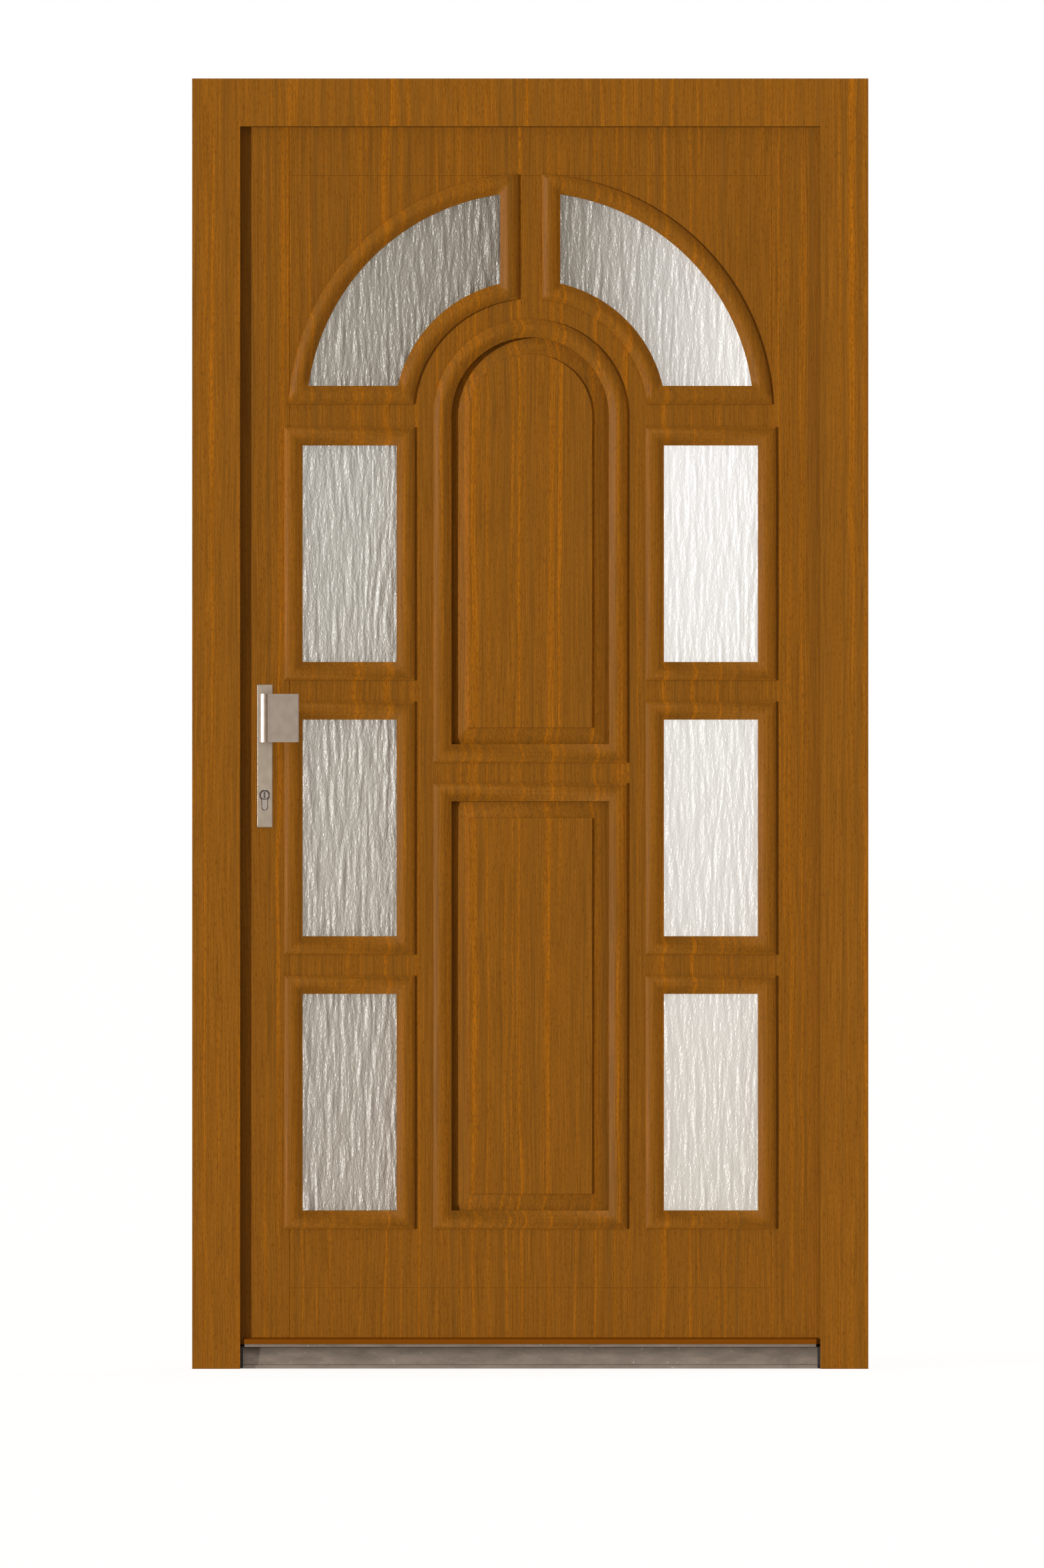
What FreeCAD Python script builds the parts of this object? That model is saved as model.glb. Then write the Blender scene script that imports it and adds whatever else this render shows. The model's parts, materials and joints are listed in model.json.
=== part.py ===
import FreeCAD, Part
import math
import os
from functools import partial

import Sketcher

# A timber entrance door in its frame, seen from outside along +Y.
# The origin is the middle of the frame's underside, halfway through its depth.
# X runs to the right, Y to the inside of the house and Z up. Lengths are millimetres.

SIZES = {
    # frame of three rebated timbers
    "frame_width": 1100,
    "frame_height": 2100,
    "frame_face": 78,
    "frame_depth": 68,
    "lip_thickness": 12,
    "lip_cover": 24,
    # the leaf and the air round it
    "leaf_thickness": 68,
    "seal_gap": 5,
    "rebate_air": 12,
    "flange_overlap": 8,
    "floor_gap": 5,
    "stile_width": 92,
    "top_rail_height": 92,
    "bottom_rail_height": 92,
    "edge_break": 0.8,
    # aluminium threshold
    "threshold_height": 35,
    "threshold_depth": 45,
    "threshold_foot": 6,
    "threshold_step": 4,
    "threshold_lean": 4,
    "threshold_wall": 3,
    "cap_width": 28,
    # rubber seals
    "seal_width": 8,
    "flange_seal_width": 6,
    "seal_slack": 0.3,
    "bottom_seal_back": 12,
    # timber left between the openings, measured between the mouldings' inner edges
    "window_margin": 21.5,
    "post_width": 89.5,
    "cross_bar": 94,
    "low_margin": 125.5,
    "arch_inset": 6.5,
    "arch_post": 93,
    "arch_gap": 49,
    "arch_drop": 48,
    "arch_top_margin": 27,
    # glass and its seat
    "bead_seat": 12,
    "glass_fit": 2.5,
    "glass_depth": 16,
    # centre panels
    "panel_half": 128,
    "lower_panel_height": 666,
    "panel_bar": 93,
    "panel_fit": 1,
    "panel_sink": 10,
    "field_margin": 27,
    "margin_rise": 7,
    "field_rise": 2.8,
    # section of the applied mouldings
    "mould_width": 30,
    "mould_foot": 3.5,
    "mould_rise": 9.5,
    "ovolo_run": 13.5,
    "ovolo_radius": 19,
    "slope_run": 11,
    "slope_radius": 60,
    "slope_fall": 2.3,
    "inner_lift": 2.8,
    "inside_cove_radius": 28,
    "tongue_fit": 0.5,
    # drip bar
    "drip_side_gap": 6,
    "drip_height": 11,
    "drip_reach": 11,
    "drip_fall": 3,
    # lock furniture
    "backset": 52,
    "plate_width": 26,
    "plate_height": 233,
    "plate_thick": 8,
    "plate_bevel": 1.2,
    "plate_low": 881,
    "cylinder_drop": 71.9,
    "cylinder_radius": 8.5,
    "cylinder_stem": 10,
    "cylinder_height": 33,
    "cylinder_proud": 2,
    "cylinder_fit": 0.3,
    "plug_radius": 6.5,
    "plug_length": 31,
    "plug_fit": 0.05,
    "key_slot_width": 2.4,
    "key_slot_height": 9,
    "key_slot_depth": 25,
    "spindle_height": 92,
    "spindle_size": 8,
    # fixed pull knob
    "knob_height": 78.5,
    "knob_rise": 178,
    "knob_left": 9,
    "knob_neck": 14,
    "knob_width": 65,
    "knob_stand": 43,
    "knob_thick": 8,
    "knob_groove": 1.5,
    # inside lever
    "lever_length": 120,
    "lever_radius": 10,
    "lever_stand": 45,
    "lever_thick": 9,
    # mortise lock front and strike plate
    "front_width": 20,
    "front_height": 240,
    "front_thick": 3,
    "bolt_proud": 2,
    "bolt_width": 12,
    "bolt_height": 34,
    "bolt_lift": 36,
    "bolt_air": 1,
    "strike_margin": 8,
    "mortise_depth": 18,
    "front_offset": 24,
    # hinges on the inside of the right jamb
    "hinge_outset": 28,
    "hinge_back": 11,
    "knuckle_radius": 10,
    "pin_radius": 5,
    "pin_fit": 0.05,
    "hinge_height": 120,
    "hinge_cap": 2,
    "hinge_split": 1,
    "hinge_plate": 4,
    "hinge_plate_in": 2,
    "hinge_plate_out": 34,
    "hinge_leaf_reach": 64,
    "hinge_wrap": 9,
    "hinge_low": 250,
    "hinge_middle": 1050,
    "hinge_drop": 244,
}

doc = FreeCAD.newDocument("entrance_door")
sheet = doc.addObject("Spreadsheet::Sheet", "Sizes")
for row, (alias, millimetres) in enumerate(SIZES.items(), start=1):
    sheet.set(f"A{row}", alias)
    sheet.set(f"B{row}", str(millimetres))
    sheet.setAlias(f"B{row}", alias)
doc.recompute()


class Size:
    """A length with its number now and its formula in the sheet."""

    def __init__(self, number, formula):
        self.number = number
        self.formula = formula

    def __add__(self, other):
        other = as_size(other)
        return Size(self.number + other.number, f"({self.formula} + {other.formula})")

    def __sub__(self, other):
        other = as_size(other)
        return Size(self.number - other.number, f"({self.formula} - {other.formula})")

    def __mul__(self, factor):
        factor = as_size(factor)
        return Size(self.number * factor.number, f"({self.formula} * {factor.formula})")

    def __truediv__(self, divisor):
        return Size(self.number / divisor, f"({self.formula} / {divisor})")

    def __neg__(self):
        return Size(-self.number, f"(0 - {self.formula})")


def as_size(value):
    """Take a plain number as a size too."""
    if isinstance(value, Size):
        return value
    return Size(float(value), f"({float(value)})")


def leg(long_side, other_side):
    """The second leg of a right triangle from its longest side and its first leg."""
    number = math.sqrt(long_side.number ** 2 - other_side.number ** 2)
    squares = f"{long_side.formula} * {long_side.formula} - {other_side.formula} * {other_side.formula}"
    return Size(number, f"sqrt({squares})")


size = {alias: Size(float(sheet.get(alias)), f"Sizes.{alias}") for alias in SIZES}

# Places worked out from the sizes: the frame
HALF_WIDTH = size["frame_width"] / 2
TOP = size["frame_height"]
FRONT = -size["frame_depth"] / 2
BACK = size["frame_depth"] / 2
LIP_BACK = FRONT + size["lip_thickness"]
LIP_SIDE = HALF_WIDTH - size["frame_face"]
LIP_TOP = TOP - size["frame_face"]
REBATE_SIDE = LIP_SIDE + size["lip_cover"]
REBATE_TOP = LIP_TOP + size["lip_cover"]

# the leaf
LEAF_FRONT = LIP_BACK + size["seal_gap"]
LEAF_BACK = LEAF_FRONT + size["leaf_thickness"]
LEAF_SIDE = REBATE_SIDE - size["rebate_air"]
LEAF_TOP = REBATE_TOP - size["rebate_air"]
LEAF_LOW = size["threshold_height"] + size["floor_gap"]
FLANGE_FRONT = BACK + size["seal_gap"]
FLANGE_SIDE = REBATE_SIDE + size["flange_overlap"]
FLANGE_TOP = REBATE_TOP + size["flange_overlap"]
STILE_INNER = LEAF_SIDE - size["stile_width"]
RAIL_TOP = LEAF_TOP - size["top_rail_height"]
RAIL_LOW = LEAF_LOW + size["bottom_rail_height"]

# openings of the windows and centre panels, at the mouldings' inner edges
WINDOW_SIDE = STILE_INNER - size["window_margin"]
WINDOW_INNER = size["panel_half"] + size["post_width"]
WINDOW_LOW = RAIL_LOW + size["low_margin"]
ARCH_OUTER = WINDOW_SIDE - size["arch_inset"]
ARCH_INNER = size["panel_half"] + size["arch_post"]
ARCH_CENTRE = RAIL_TOP - size["arch_top_margin"] - ARCH_OUTER
WINDOW_TOP = ARCH_CENTRE - size["arch_drop"]
PANES = 3
PANE_HEIGHT = (WINDOW_TOP - WINDOW_LOW - size["cross_bar"] * (PANES - 1)) / PANES
UPPER_PANEL_LOW = WINDOW_LOW + size["lower_panel_height"] + size["panel_bar"]

# glass
GLASS_FRONT = LEAF_FRONT + size["glass_depth"]
GLASS_BACK = LEAF_BACK - size["glass_depth"]
SEAT = size["bead_seat"]
MOULD_OUT = size["mould_width"]

# lock furniture
LOCK_X = -LEAF_SIDE + size["backset"]
PLATE_FRONT = LEAF_FRONT - size["plate_thick"]
PLATE_BACK = LEAF_BACK + size["plate_thick"]
CYLINDER_Z = size["plate_low"] + size["plate_height"] / 2 - size["cylinder_drop"]
SPINDLE_Z = CYLINDER_Z + size["spindle_height"]
FRONT_Y = LEAF_FRONT + size["front_offset"]

# hinge axis
HINGE_X = LEAF_SIDE + size["hinge_outset"]
HINGE_Y = LEAF_BACK + size["hinge_back"]

XY, XZ, YZ = "XY_Plane", "XZ_Plane", "YZ_Plane"
SIDES = ((-1, "left"), (1, "right"))
# short runs that stand for each small arc in a moulding's section
ARC_RUNS = 2


def new_body(label):
    body = doc.addObject("PartDesign::Body", label)
    body.Label = label
    return body


def new_sketch(body, role, start):
    """A sketch on one origin plane of its own body, moved along to the start."""
    sketch = body.newObject("Sketcher::SketchObject", f"{body.Label}_outline")
    plane = next(feature for feature in body.Origin.OriginFeatures if feature.Role == role)
    sketch.AttachmentSupport = [(plane, "")]
    sketch.MapMode = "FlatFace"
    # the normal of the XZ plane points to the outside, against Y
    along = -as_size(start) if role == XZ else as_size(start)
    sketch.setExpression("AttachmentOffset.Base.z", along.formula)
    return sketch


def pin(sketch, geometry, point, across, up):
    """Hold one point at its two distances from the sketch's origin."""
    for kind, distance in (("DistanceX", as_size(across)), ("DistanceY", as_size(up))):
        rule = Sketcher.Constraint(kind, -1, 1, geometry, point, distance.number)
        index = sketch.addConstraint(rule)
        sketch.setExpression(f"Constraints[{index}]", distance.formula)


def arc_between(start, end, radius, turn):
    """The short arc from start to end: turn 1 has its centre on the left, -1 on the right."""
    middle = (start + end) * 0.5
    chord = end - start
    rise = math.sqrt(max(radius ** 2 - (chord.Length / 2) ** 2, 0))
    left = FreeCAD.Vector(-chord.y, chord.x, 0).normalize()
    centre = middle + left * (turn * rise)
    first = math.atan2(start.y - centre.y, start.x - centre.x)
    last = math.atan2(end.y - centre.y, end.x - centre.x)
    circle = Part.Circle(centre, FreeCAD.Vector(0, 0, 1), radius)
    if turn > 0:
        return Part.ArcOfCircle(circle, first, last)
    return Part.ArcOfCircle(circle, last, first)


def outline(sketch, corners):
    """A closed outline. A corner may also give the radius and turn of the arc that leaves it."""
    first = sketch.GeometryCount
    points = [FreeCAD.Vector(as_size(c[0]).number, as_size(c[1]).number, 0) for c in corners]
    starts, ends = [], []
    for step, corner in enumerate(corners):
        start, end = points[step], points[(step + 1) % len(points)]
        if len(corner) == 2:
            sketch.addGeometry(Part.LineSegment(start, end))
            starts.append(1)
            ends.append(2)
            continue
        radius, turn = corner[2:]
        sketch.addGeometry(arc_between(start, end, radius.number, turn))
        starts.append(1 if turn > 0 else 2)
        ends.append(2 if turn > 0 else 1)
    for step, corner in enumerate(corners):
        after = (step + 1) % len(corners)
        joint = Sketcher.Constraint("Coincident", first + step, ends[step], first + after, starts[after])
        sketch.addConstraint(joint)
        pin(sketch, first + step, starts[step], corner[0], corner[1])
        if len(corner) > 2:
            index = sketch.addConstraint(Sketcher.Constraint("Radius", first + step, corner[2].number))
            sketch.setExpression(f"Constraints[{index}]", corner[2].formula)


def disc(sketch, across, up, radius):
    geometry = sketch.addGeometry(Part.Circle(
        FreeCAD.Vector(across.number, up.number, 0), FreeCAD.Vector(0, 0, 1), radius.number))
    pin(sketch, geometry, 3, across, up)
    index = sketch.addConstraint(Sketcher.Constraint("Radius", geometry, radius.number))
    sketch.setExpression(f"Constraints[{index}]", radius.formula)


def rectangle(left, right, low, high):
    return [(left, low), (right, low), (right, high), (left, high)]


def arch_top(half, low, spring):
    """Upright sides with a half circle on top."""
    return [
        (-half, low), (half, low), (half, spring, half, 1),
        (as_size(0), spring + half, half, 1), (-half, spring),
    ]


def quarter_ring(side, grow):
    """The arched window's outline, grown outwards all round. Side is 1 right and -1 left."""
    outer = ARCH_OUTER + grow
    inner = ARCH_INNER - grow
    edge = size["arch_gap"] - grow
    centre = ARCH_CENTRE
    return [
        (leg(inner, edge) * side, centre + edge),
        (leg(outer, edge) * side, centre + edge, outer, side),
        (edge * side, centre + leg(outer, edge)),
        (edge * side, centre + leg(inner, edge), inner, -side),
    ]


def euro(grow):
    """The profile of the lock cylinder: a round barrel over a narrow stem."""
    radius = size["cylinder_radius"] + grow
    half = size["cylinder_stem"] / 2 + grow
    low = CYLINDER_Z + size["cylinder_height"] / 2 - size["cylinder_height"] - grow
    centre = CYLINDER_Z + size["cylinder_height"] / 2 - size["cylinder_radius"]
    waist = centre - leg(radius, half)
    return [
        (LOCK_X - half, waist, radius, -1), (LOCK_X - radius, centre, radius, -1),
        (LOCK_X, centre + radius, radius, -1), (LOCK_X + radius, centre, radius, -1),
        (LOCK_X + half, waist), (LOCK_X + half, low + half, half, -1),
        (LOCK_X, low, half, -1), (LOCK_X - half, low + half),
    ]


PLUG_Z = CYLINDER_Z + size["cylinder_height"] / 2 - size["cylinder_radius"]


def pad(body, role, start, end, corners=None, circle=None):
    """Add material between two places along the plane's direction."""
    sketch = new_sketch(body, role, start)
    if corners:
        outline(sketch, corners)
    if circle:
        disc(sketch, *circle)
    feature = body.newObject("PartDesign::Pad", f"{body.Label}_pad")
    feature.Profile = sketch
    feature.Reversed = role == XZ
    feature.setExpression("Length", (as_size(end) - start).formula)
    sketch.Visibility = False
    return feature


def slope(body, role, low, low_corners, high, high_corners):
    """Add material whose sides slope straight from one outline to another."""
    sketches = []
    for place, corners in ((low, low_corners), (high, high_corners)):
        sketch = new_sketch(body, role, place)
        outline(sketch, corners)
        sketch.Visibility = False
        sketches.append(sketch)
    feature = body.newObject("PartDesign::AdditiveLoft", f"{body.Label}_slope")
    feature.Profile = sketches[0]
    feature.Sections = sketches[1:]
    feature.Ruled = True
    return feature


def pocket(body, role, start, end, corners=None, circle=None):
    """Take material away between two places along the plane's direction."""
    sketch = new_sketch(body, role, start)
    if corners:
        outline(sketch, corners)
    if circle:
        disc(sketch, *circle)
    feature = body.newObject("PartDesign::Pocket", f"{body.Label}_pocket")
    feature.Profile = sketch
    feature.Reversed = role != XZ
    feature.setExpression("Length", (as_size(end) - start).formula)
    return feature


def bevel_face(body, feature, front, amount):
    """Bevel the edges round the front or back face."""
    doc.recompute()
    faces = feature.Shape.Faces
    pick = min if front else max
    number = pick(range(len(faces)), key=lambda index: faces[index].CenterOfMass.y)
    chamfer = body.newObject("PartDesign::Chamfer", f"{body.Label}_bevel")
    chamfer.Base = (feature, [f"Face{number + 1}"])
    chamfer.setExpression("Size", amount.formula)
    return chamfer


def group(label, members):
    """Several loose solids of one kind in one sub-part."""
    compound = doc.addObject("Part::Compound", label)
    compound.Label = label
    compound.Links = members
    return compound


parts = []


def keep(feature):
    parts.append(feature)
    return feature


def frame_jamb(label, side):
    """A rebated jamb: its front lip stops under the head, its back runs on behind the head's lip."""
    body = new_body(label)
    section = [
        (HALF_WIDTH * side, FRONT), (LIP_SIDE * side, FRONT), (LIP_SIDE * side, LIP_BACK),
        (REBATE_SIDE * side, LIP_BACK), (REBATE_SIDE * side, BACK), (HALF_WIDTH * side, BACK),
    ]
    pad(body, XY, 0, REBATE_TOP, section)
    scribe = [
        (HALF_WIDTH * side, FRONT), (LIP_SIDE * side, FRONT),
        (LIP_SIDE * side, LIP_BACK), (HALF_WIDTH * side, LIP_BACK),
    ]
    pocket(body, XY, LIP_TOP, REBATE_TOP, scribe)
    return keep(body)


def frame_head():
    body = new_body("frame_head")
    section = [
        (FRONT, LIP_TOP), (FRONT, TOP), (BACK, TOP),
        (BACK, REBATE_TOP), (LIP_BACK, REBATE_TOP), (LIP_BACK, LIP_TOP),
    ]
    pad(body, YZ, -HALF_WIDTH, HALF_WIDTH, section)
    return keep(body)


def threshold():
    """A hollow aluminium extrusion with a stepped foot and a leaning front."""
    body = new_body("threshold")
    end = REBATE_SIDE - size["cap_width"]
    foot = BACK - size["threshold_depth"]
    face = foot + size["threshold_step"]
    crest = face + size["threshold_lean"]
    wall = size["threshold_wall"]
    high = size["threshold_height"]
    section = [
        (foot, as_size(0)), (foot, size["threshold_foot"]), (face, size["threshold_foot"]),
        (crest, high), (BACK, high), (BACK, as_size(0)),
    ]
    pad(body, YZ, -end, end, section)
    rib = (crest + BACK) / 2
    for low_corner, high_corner, right in (
            (face + wall, crest + wall, rib - wall / 2),
            (rib + wall / 2, rib + wall / 2, BACK - wall)):
        chamber = [(low_corner, wall), (right, wall), (right, high - wall), (high_corner, high - wall)]
        pocket(body, YZ, -end, end, chamber)
    return keep(body)


def threshold_caps():
    """A dark block closes each end of the threshold against the jamb."""
    caps = []
    for side, name in SIDES:
        body = new_body(f"threshold_cap_{name}")
        ends = sorted((REBATE_SIDE * side, (REBATE_SIDE - size["cap_width"]) * side), key=lambda x: x.number)
        front = BACK - size["threshold_depth"] + size["threshold_step"]
        pad(body, YZ, ends[0], ends[1], rectangle(front, BACK, as_size(0), size["threshold_height"]))
        caps.append(body)
    return keep(group("threshold_end_caps", caps))


def frame_seal():
    """A rubber strip on the back of the frame's lip, round three sides."""
    body = new_body("frame_seal")
    inner = LIP_SIDE + (LEAF_SIDE - LIP_SIDE - size["seal_width"]) / 2
    outer = inner + size["seal_width"]
    inner_top = LIP_TOP + (LEAF_TOP - LIP_TOP - size["seal_width"]) / 2
    outer_top = inner_top + size["seal_width"]
    shape = [
        (-outer, LEAF_LOW), (-inner, LEAF_LOW), (-inner, inner_top), (inner, inner_top),
        (inner, LEAF_LOW), (outer, LEAF_LOW), (outer, outer_top), (-outer, outer_top),
    ]
    pad(body, XZ, LIP_BACK, LEAF_FRONT - size["seal_slack"], shape)
    return keep(body)


def leaf_seal():
    """A rubber strip on the front of the leaf's flange, round three sides."""
    body = new_body("leaf_seal")
    width = size["flange_seal_width"]
    outer = FLANGE_SIDE - (size["flange_overlap"] - width) / 2
    inner = outer - width
    outer_top = FLANGE_TOP - (size["flange_overlap"] - width) / 2
    inner_top = outer_top - width
    shape = [
        (-outer, LEAF_LOW), (-inner, LEAF_LOW), (-inner, inner_top), (inner, inner_top),
        (inner, LEAF_LOW), (outer, LEAF_LOW), (outer, outer_top), (-outer, outer_top),
    ]
    pad(body, XZ, BACK + size["seal_slack"], FLANGE_FRONT, shape)
    return keep(body)


def bottom_seal():
    """A rubber strip under the leaf, just over the threshold."""
    body = new_body("leaf_bottom_seal")
    back = BACK - size["bottom_seal_back"]
    section = rectangle(back - size["seal_width"], back, size["threshold_height"] + size["seal_slack"], LEAF_LOW)
    pad(body, YZ, -LEAF_SIDE, LEAF_SIDE, section)
    return keep(body)


def leaf_stile(label, side):
    """A full-height stile with the flange that laps over the frame on the inside."""
    body = new_body(label)
    bevel = size["edge_break"]
    section = [
        (LEAF_SIDE * side, LEAF_FRONT), ((STILE_INNER + bevel) * side, LEAF_FRONT),
        (STILE_INNER * side, LEAF_FRONT + bevel), (STILE_INNER * side, LEAF_BACK),
        (FLANGE_SIDE * side, LEAF_BACK), (FLANGE_SIDE * side, FLANGE_FRONT), (LEAF_SIDE * side, FLANGE_FRONT),
    ]
    pad(body, XY, LEAF_LOW, FLANGE_TOP, section)
    top = [
        (FLANGE_SIDE * side, LEAF_FRONT), (STILE_INNER * side, LEAF_FRONT),
        (STILE_INNER * side, FLANGE_FRONT), (FLANGE_SIDE * side, FLANGE_FRONT),
    ]
    pocket(body, XY, LEAF_TOP, FLANGE_TOP, top)
    return body


def lock_front_outline():
    """The mortise lock's long narrow front, seen from the edge of the leaf."""
    half = size["front_width"] / 2
    low = SPINDLE_Z - size["front_height"] / 2 - size["bolt_lift"]
    return rectangle(FRONT_Y - half, FRONT_Y + half, low, low + size["front_height"])


def leaf_stile_lock():
    """The lock stile is cut for the mortise lock's front, the cylinder and the spindle."""
    body = leaf_stile("leaf_stile_lock", -1)
    pocket(body, YZ, -LEAF_SIDE, -LEAF_SIDE + size["front_thick"], lock_front_outline())
    pocket(body, XZ, LEAF_FRONT, LEAF_BACK, euro(size["cylinder_fit"]))
    pocket(body, XZ, LEAF_FRONT, LEAF_BACK, circle=(LOCK_X, SPINDLE_Z, size["spindle_size"]))
    return keep(body)


def top_rail():
    body = new_body("leaf_rail_top")
    bevel = size["edge_break"]
    section = [
        (LEAF_FRONT + bevel, RAIL_TOP), (LEAF_BACK, RAIL_TOP), (LEAF_BACK, FLANGE_TOP),
        (FLANGE_FRONT, FLANGE_TOP), (FLANGE_FRONT, LEAF_TOP), (LEAF_FRONT, LEAF_TOP),
        (LEAF_FRONT, RAIL_TOP + bevel),
    ]
    pad(body, YZ, -STILE_INNER, STILE_INNER, section)
    return keep(body)


def bottom_rail():
    body = new_body("leaf_rail_bottom")
    bevel = size["edge_break"]
    section = [
        (LEAF_FRONT, LEAF_LOW), (LEAF_BACK, LEAF_LOW), (LEAF_BACK, RAIL_LOW),
        (LEAF_FRONT + bevel, RAIL_LOW), (LEAF_FRONT, RAIL_LOW - bevel),
    ]
    pad(body, YZ, -STILE_INNER, STILE_INNER, section)
    return keep(body)


def pane_outline(side, row, grow):
    """One rectangular window in its column, grown outwards all round."""
    centre = (WINDOW_SIDE + WINDOW_INNER) / 2 * side
    half = (WINDOW_SIDE - WINDOW_INNER) / 2 + grow
    low = WINDOW_LOW + (PANE_HEIGHT + size["cross_bar"]) * row
    return rectangle(centre - half, centre + half, low - grow, low + PANE_HEIGHT + grow)


def upper_panel_outline(grow):
    return arch_top(size["panel_half"] + grow, UPPER_PANEL_LOW - grow, ARCH_CENTRE)


def lower_panel_outline(grow):
    half = size["panel_half"] + grow
    return rectangle(-half, half, WINDOW_LOW - grow, WINDOW_LOW + size["lower_panel_height"] + grow)


def infill_panel():
    """The board between stiles and rails, cut through for every window and centre panel."""
    body = new_body("infill_panel")
    pad(body, XZ, LEAF_FRONT, LEAF_BACK, rectangle(-STILE_INNER, STILE_INNER, RAIL_LOW, RAIL_TOP))
    for side, name in SIDES:
        for row in range(PANES):
            pocket(body, XZ, LEAF_FRONT, LEAF_BACK, pane_outline(side, row, SEAT))
        pocket(body, XZ, LEAF_FRONT, LEAF_BACK, quarter_ring(side, SEAT))
    pocket(body, XZ, LEAF_FRONT, LEAF_BACK, upper_panel_outline(SEAT))
    pocket(body, XZ, LEAF_FRONT, LEAF_BACK, lower_panel_outline(SEAT))
    return keep(body)


def centre_panel(label, panel_outline):
    """A fielded board: on both faces its margin climbs from the moulding to a small step round the
    flat field."""
    body = new_body(label)
    sight, field = panel_outline(as_size(0)), panel_outline(-size["field_margin"])
    low_front, low_back = LEAF_FRONT + size["panel_sink"], LEAF_BACK - size["panel_sink"]
    high_front, high_back = low_front - size["margin_rise"], low_back + size["margin_rise"]
    pad(body, XZ, low_front, low_back, panel_outline(SEAT - size["panel_fit"]))
    slope(body, XZ, low_front, sight, high_front, field)
    slope(body, XZ, low_back, sight, high_back, field)
    pad(body, XZ, high_front - size["field_rise"], high_back + size["field_rise"], field)
    return keep(body)


def glass(label, outline_of):
    body = new_body(label)
    pad(body, XZ, GLASS_FRONT, GLASS_BACK, outline_of(SEAT - size["glass_fit"]))
    return body


def glazing():
    """Two arched panes and two columns of three."""
    for side, name in SIDES:
        keep(glass(f"glass_arch_{name}", partial(quarter_ring, side)))
        panes = [glass(f"pane_{name}_{row + 1}", partial(pane_outline, side, row)) for row in range(PANES)]
        keep(group(f"glass_column_{name}", panes))


def mould_section(depth, inside):
    """The moulding's section as distance in from its outer foot and height over the leaf's face.
    A third and fourth value give the radius and turn of the arc that leaves the point.
    Both climb in an ovolo to their crest. The outside falls in a slow curve to an arris and then in a
    steep slope to the opening. The inside falls in one cove."""
    width = size["mould_width"]
    rise = size["mould_rise"]
    crest = size["ovolo_run"]
    tongue = width - SEAT + size["tongue_fit"]
    foot = [
        (as_size(0), as_size(0)),
        (as_size(0), size["mould_foot"], size["ovolo_radius"], -1),
    ]
    slope = [
        (crest, rise, size["slope_radius"], -1),
        (crest + size["slope_run"], rise - size["slope_fall"]),
    ]
    cove = [(crest, rise, size["inside_cove_radius"], 1)]
    back = [(width, size["inner_lift"]), (width, -depth), (tongue, -depth), (tongue, as_size(0))]
    return foot + (cove if inside else slope) + back


def section_points(section):
    """The section as plain numbers, with each arc cut into a few short runs."""
    points = []
    for step, corner in enumerate(section):
        start = FreeCAD.Vector(corner[0].number, corner[1].number, 0)
        run = [start]
        if len(corner) > 2:
            after = section[(step + 1) % len(section)]
            end = FreeCAD.Vector(after[0].number, after[1].number, 0)
            run = arc_between(start, end, corner[2].number, corner[3]).discretize(ARC_RUNS + 1)
            if corner[3] < 0:
                run.reverse()
            run = run[:-1]
        points += [(point.x, point.y) for point in run]
    return points


def closed_line(corners, depth):
    """A window's outline stood up at one depth: for each side its start, its middle if it is
    an arc, and its end."""
    sides = []
    for step, corner in enumerate(corners):
        after = corners[(step + 1) % len(corners)]
        start = FreeCAD.Vector(as_size(corner[0]).number, as_size(corner[1]).number, 0)
        end = FreeCAD.Vector(as_size(after[0]).number, as_size(after[1]).number, 0)
        run = [start, end]
        if len(corner) > 2:
            arc = arc_between(start, end, corner[2].number, corner[3])
            run.insert(1, arc.value((arc.FirstParameter + arc.LastParameter) / 2))
        sides.append([FreeCAD.Vector(point.x, depth, point.y) for point in run])
    return sides


def strip(side, other):
    """The face between the same side of two neighbouring lines."""
    if len(side) == 2:
        return Part.Face(Part.makePolygon([side[0], side[1], other[1], other[0], side[0]]))
    return Part.makeRuledSurface(Part.Arc(*side).toShape(), Part.Arc(*other).toShape())


def moulding(label, outline_of, depth, inside):
    """Run the section round a window. Each point of the section gives one closed line, parallel
    to the window's edge, and the faces between neighbouring lines meet in true mitres."""
    face = (LEAF_BACK if inside else LEAF_FRONT).number
    outwards = 1 if inside else -1
    lines = []
    for across, height in section_points(mould_section(depth, inside)):
        lines.append(closed_line(outline_of(MOULD_OUT - across), face + height * outwards))
    faces = []
    for line, after in zip(lines, lines[1:] + lines[:1]):
        faces += [strip(side, other) for side, other in zip(line, after)]
    solid = Part.Solid(Part.Shell(faces))
    if solid.Volume < 0:
        solid.reverse()
    feature = doc.addObject("Part::Feature", label)
    feature.Label = label
    feature.Shape = solid
    return feature


def mouldings():
    """Mouldings round every window and centre panel, one set outside and one inside."""
    depth, sink = size["glass_depth"], size["panel_sink"]
    for inside in (False, True):
        tag = "_inside" if inside else ""
        arches, panes, panels = [], [], []
        for side, name in SIDES:
            arch = partial(quarter_ring, side)
            arches.append(moulding(f"moulding_arch_{name}{tag}", arch, depth, inside))
            for row in range(PANES):
                pane = partial(pane_outline, side, row)
                panes.append(moulding(f"moulding_{name}_{row + 1}{tag}", pane, depth, inside))
        panels.append(moulding(f"moulding_upper_panel{tag}", upper_panel_outline, sink, inside))
        panels.append(moulding(f"moulding_lower_panel{tag}", lower_panel_outline, sink, inside))
        if inside:
            keep(group("inside_window_mouldings", arches + panes))
            keep(group("inside_panel_mouldings", panels))
        else:
            keep(group("moulding_arches", arches))
            keep(group("moulding_centre_panels", panels))
            for piece in panes:
                keep(piece)


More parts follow.
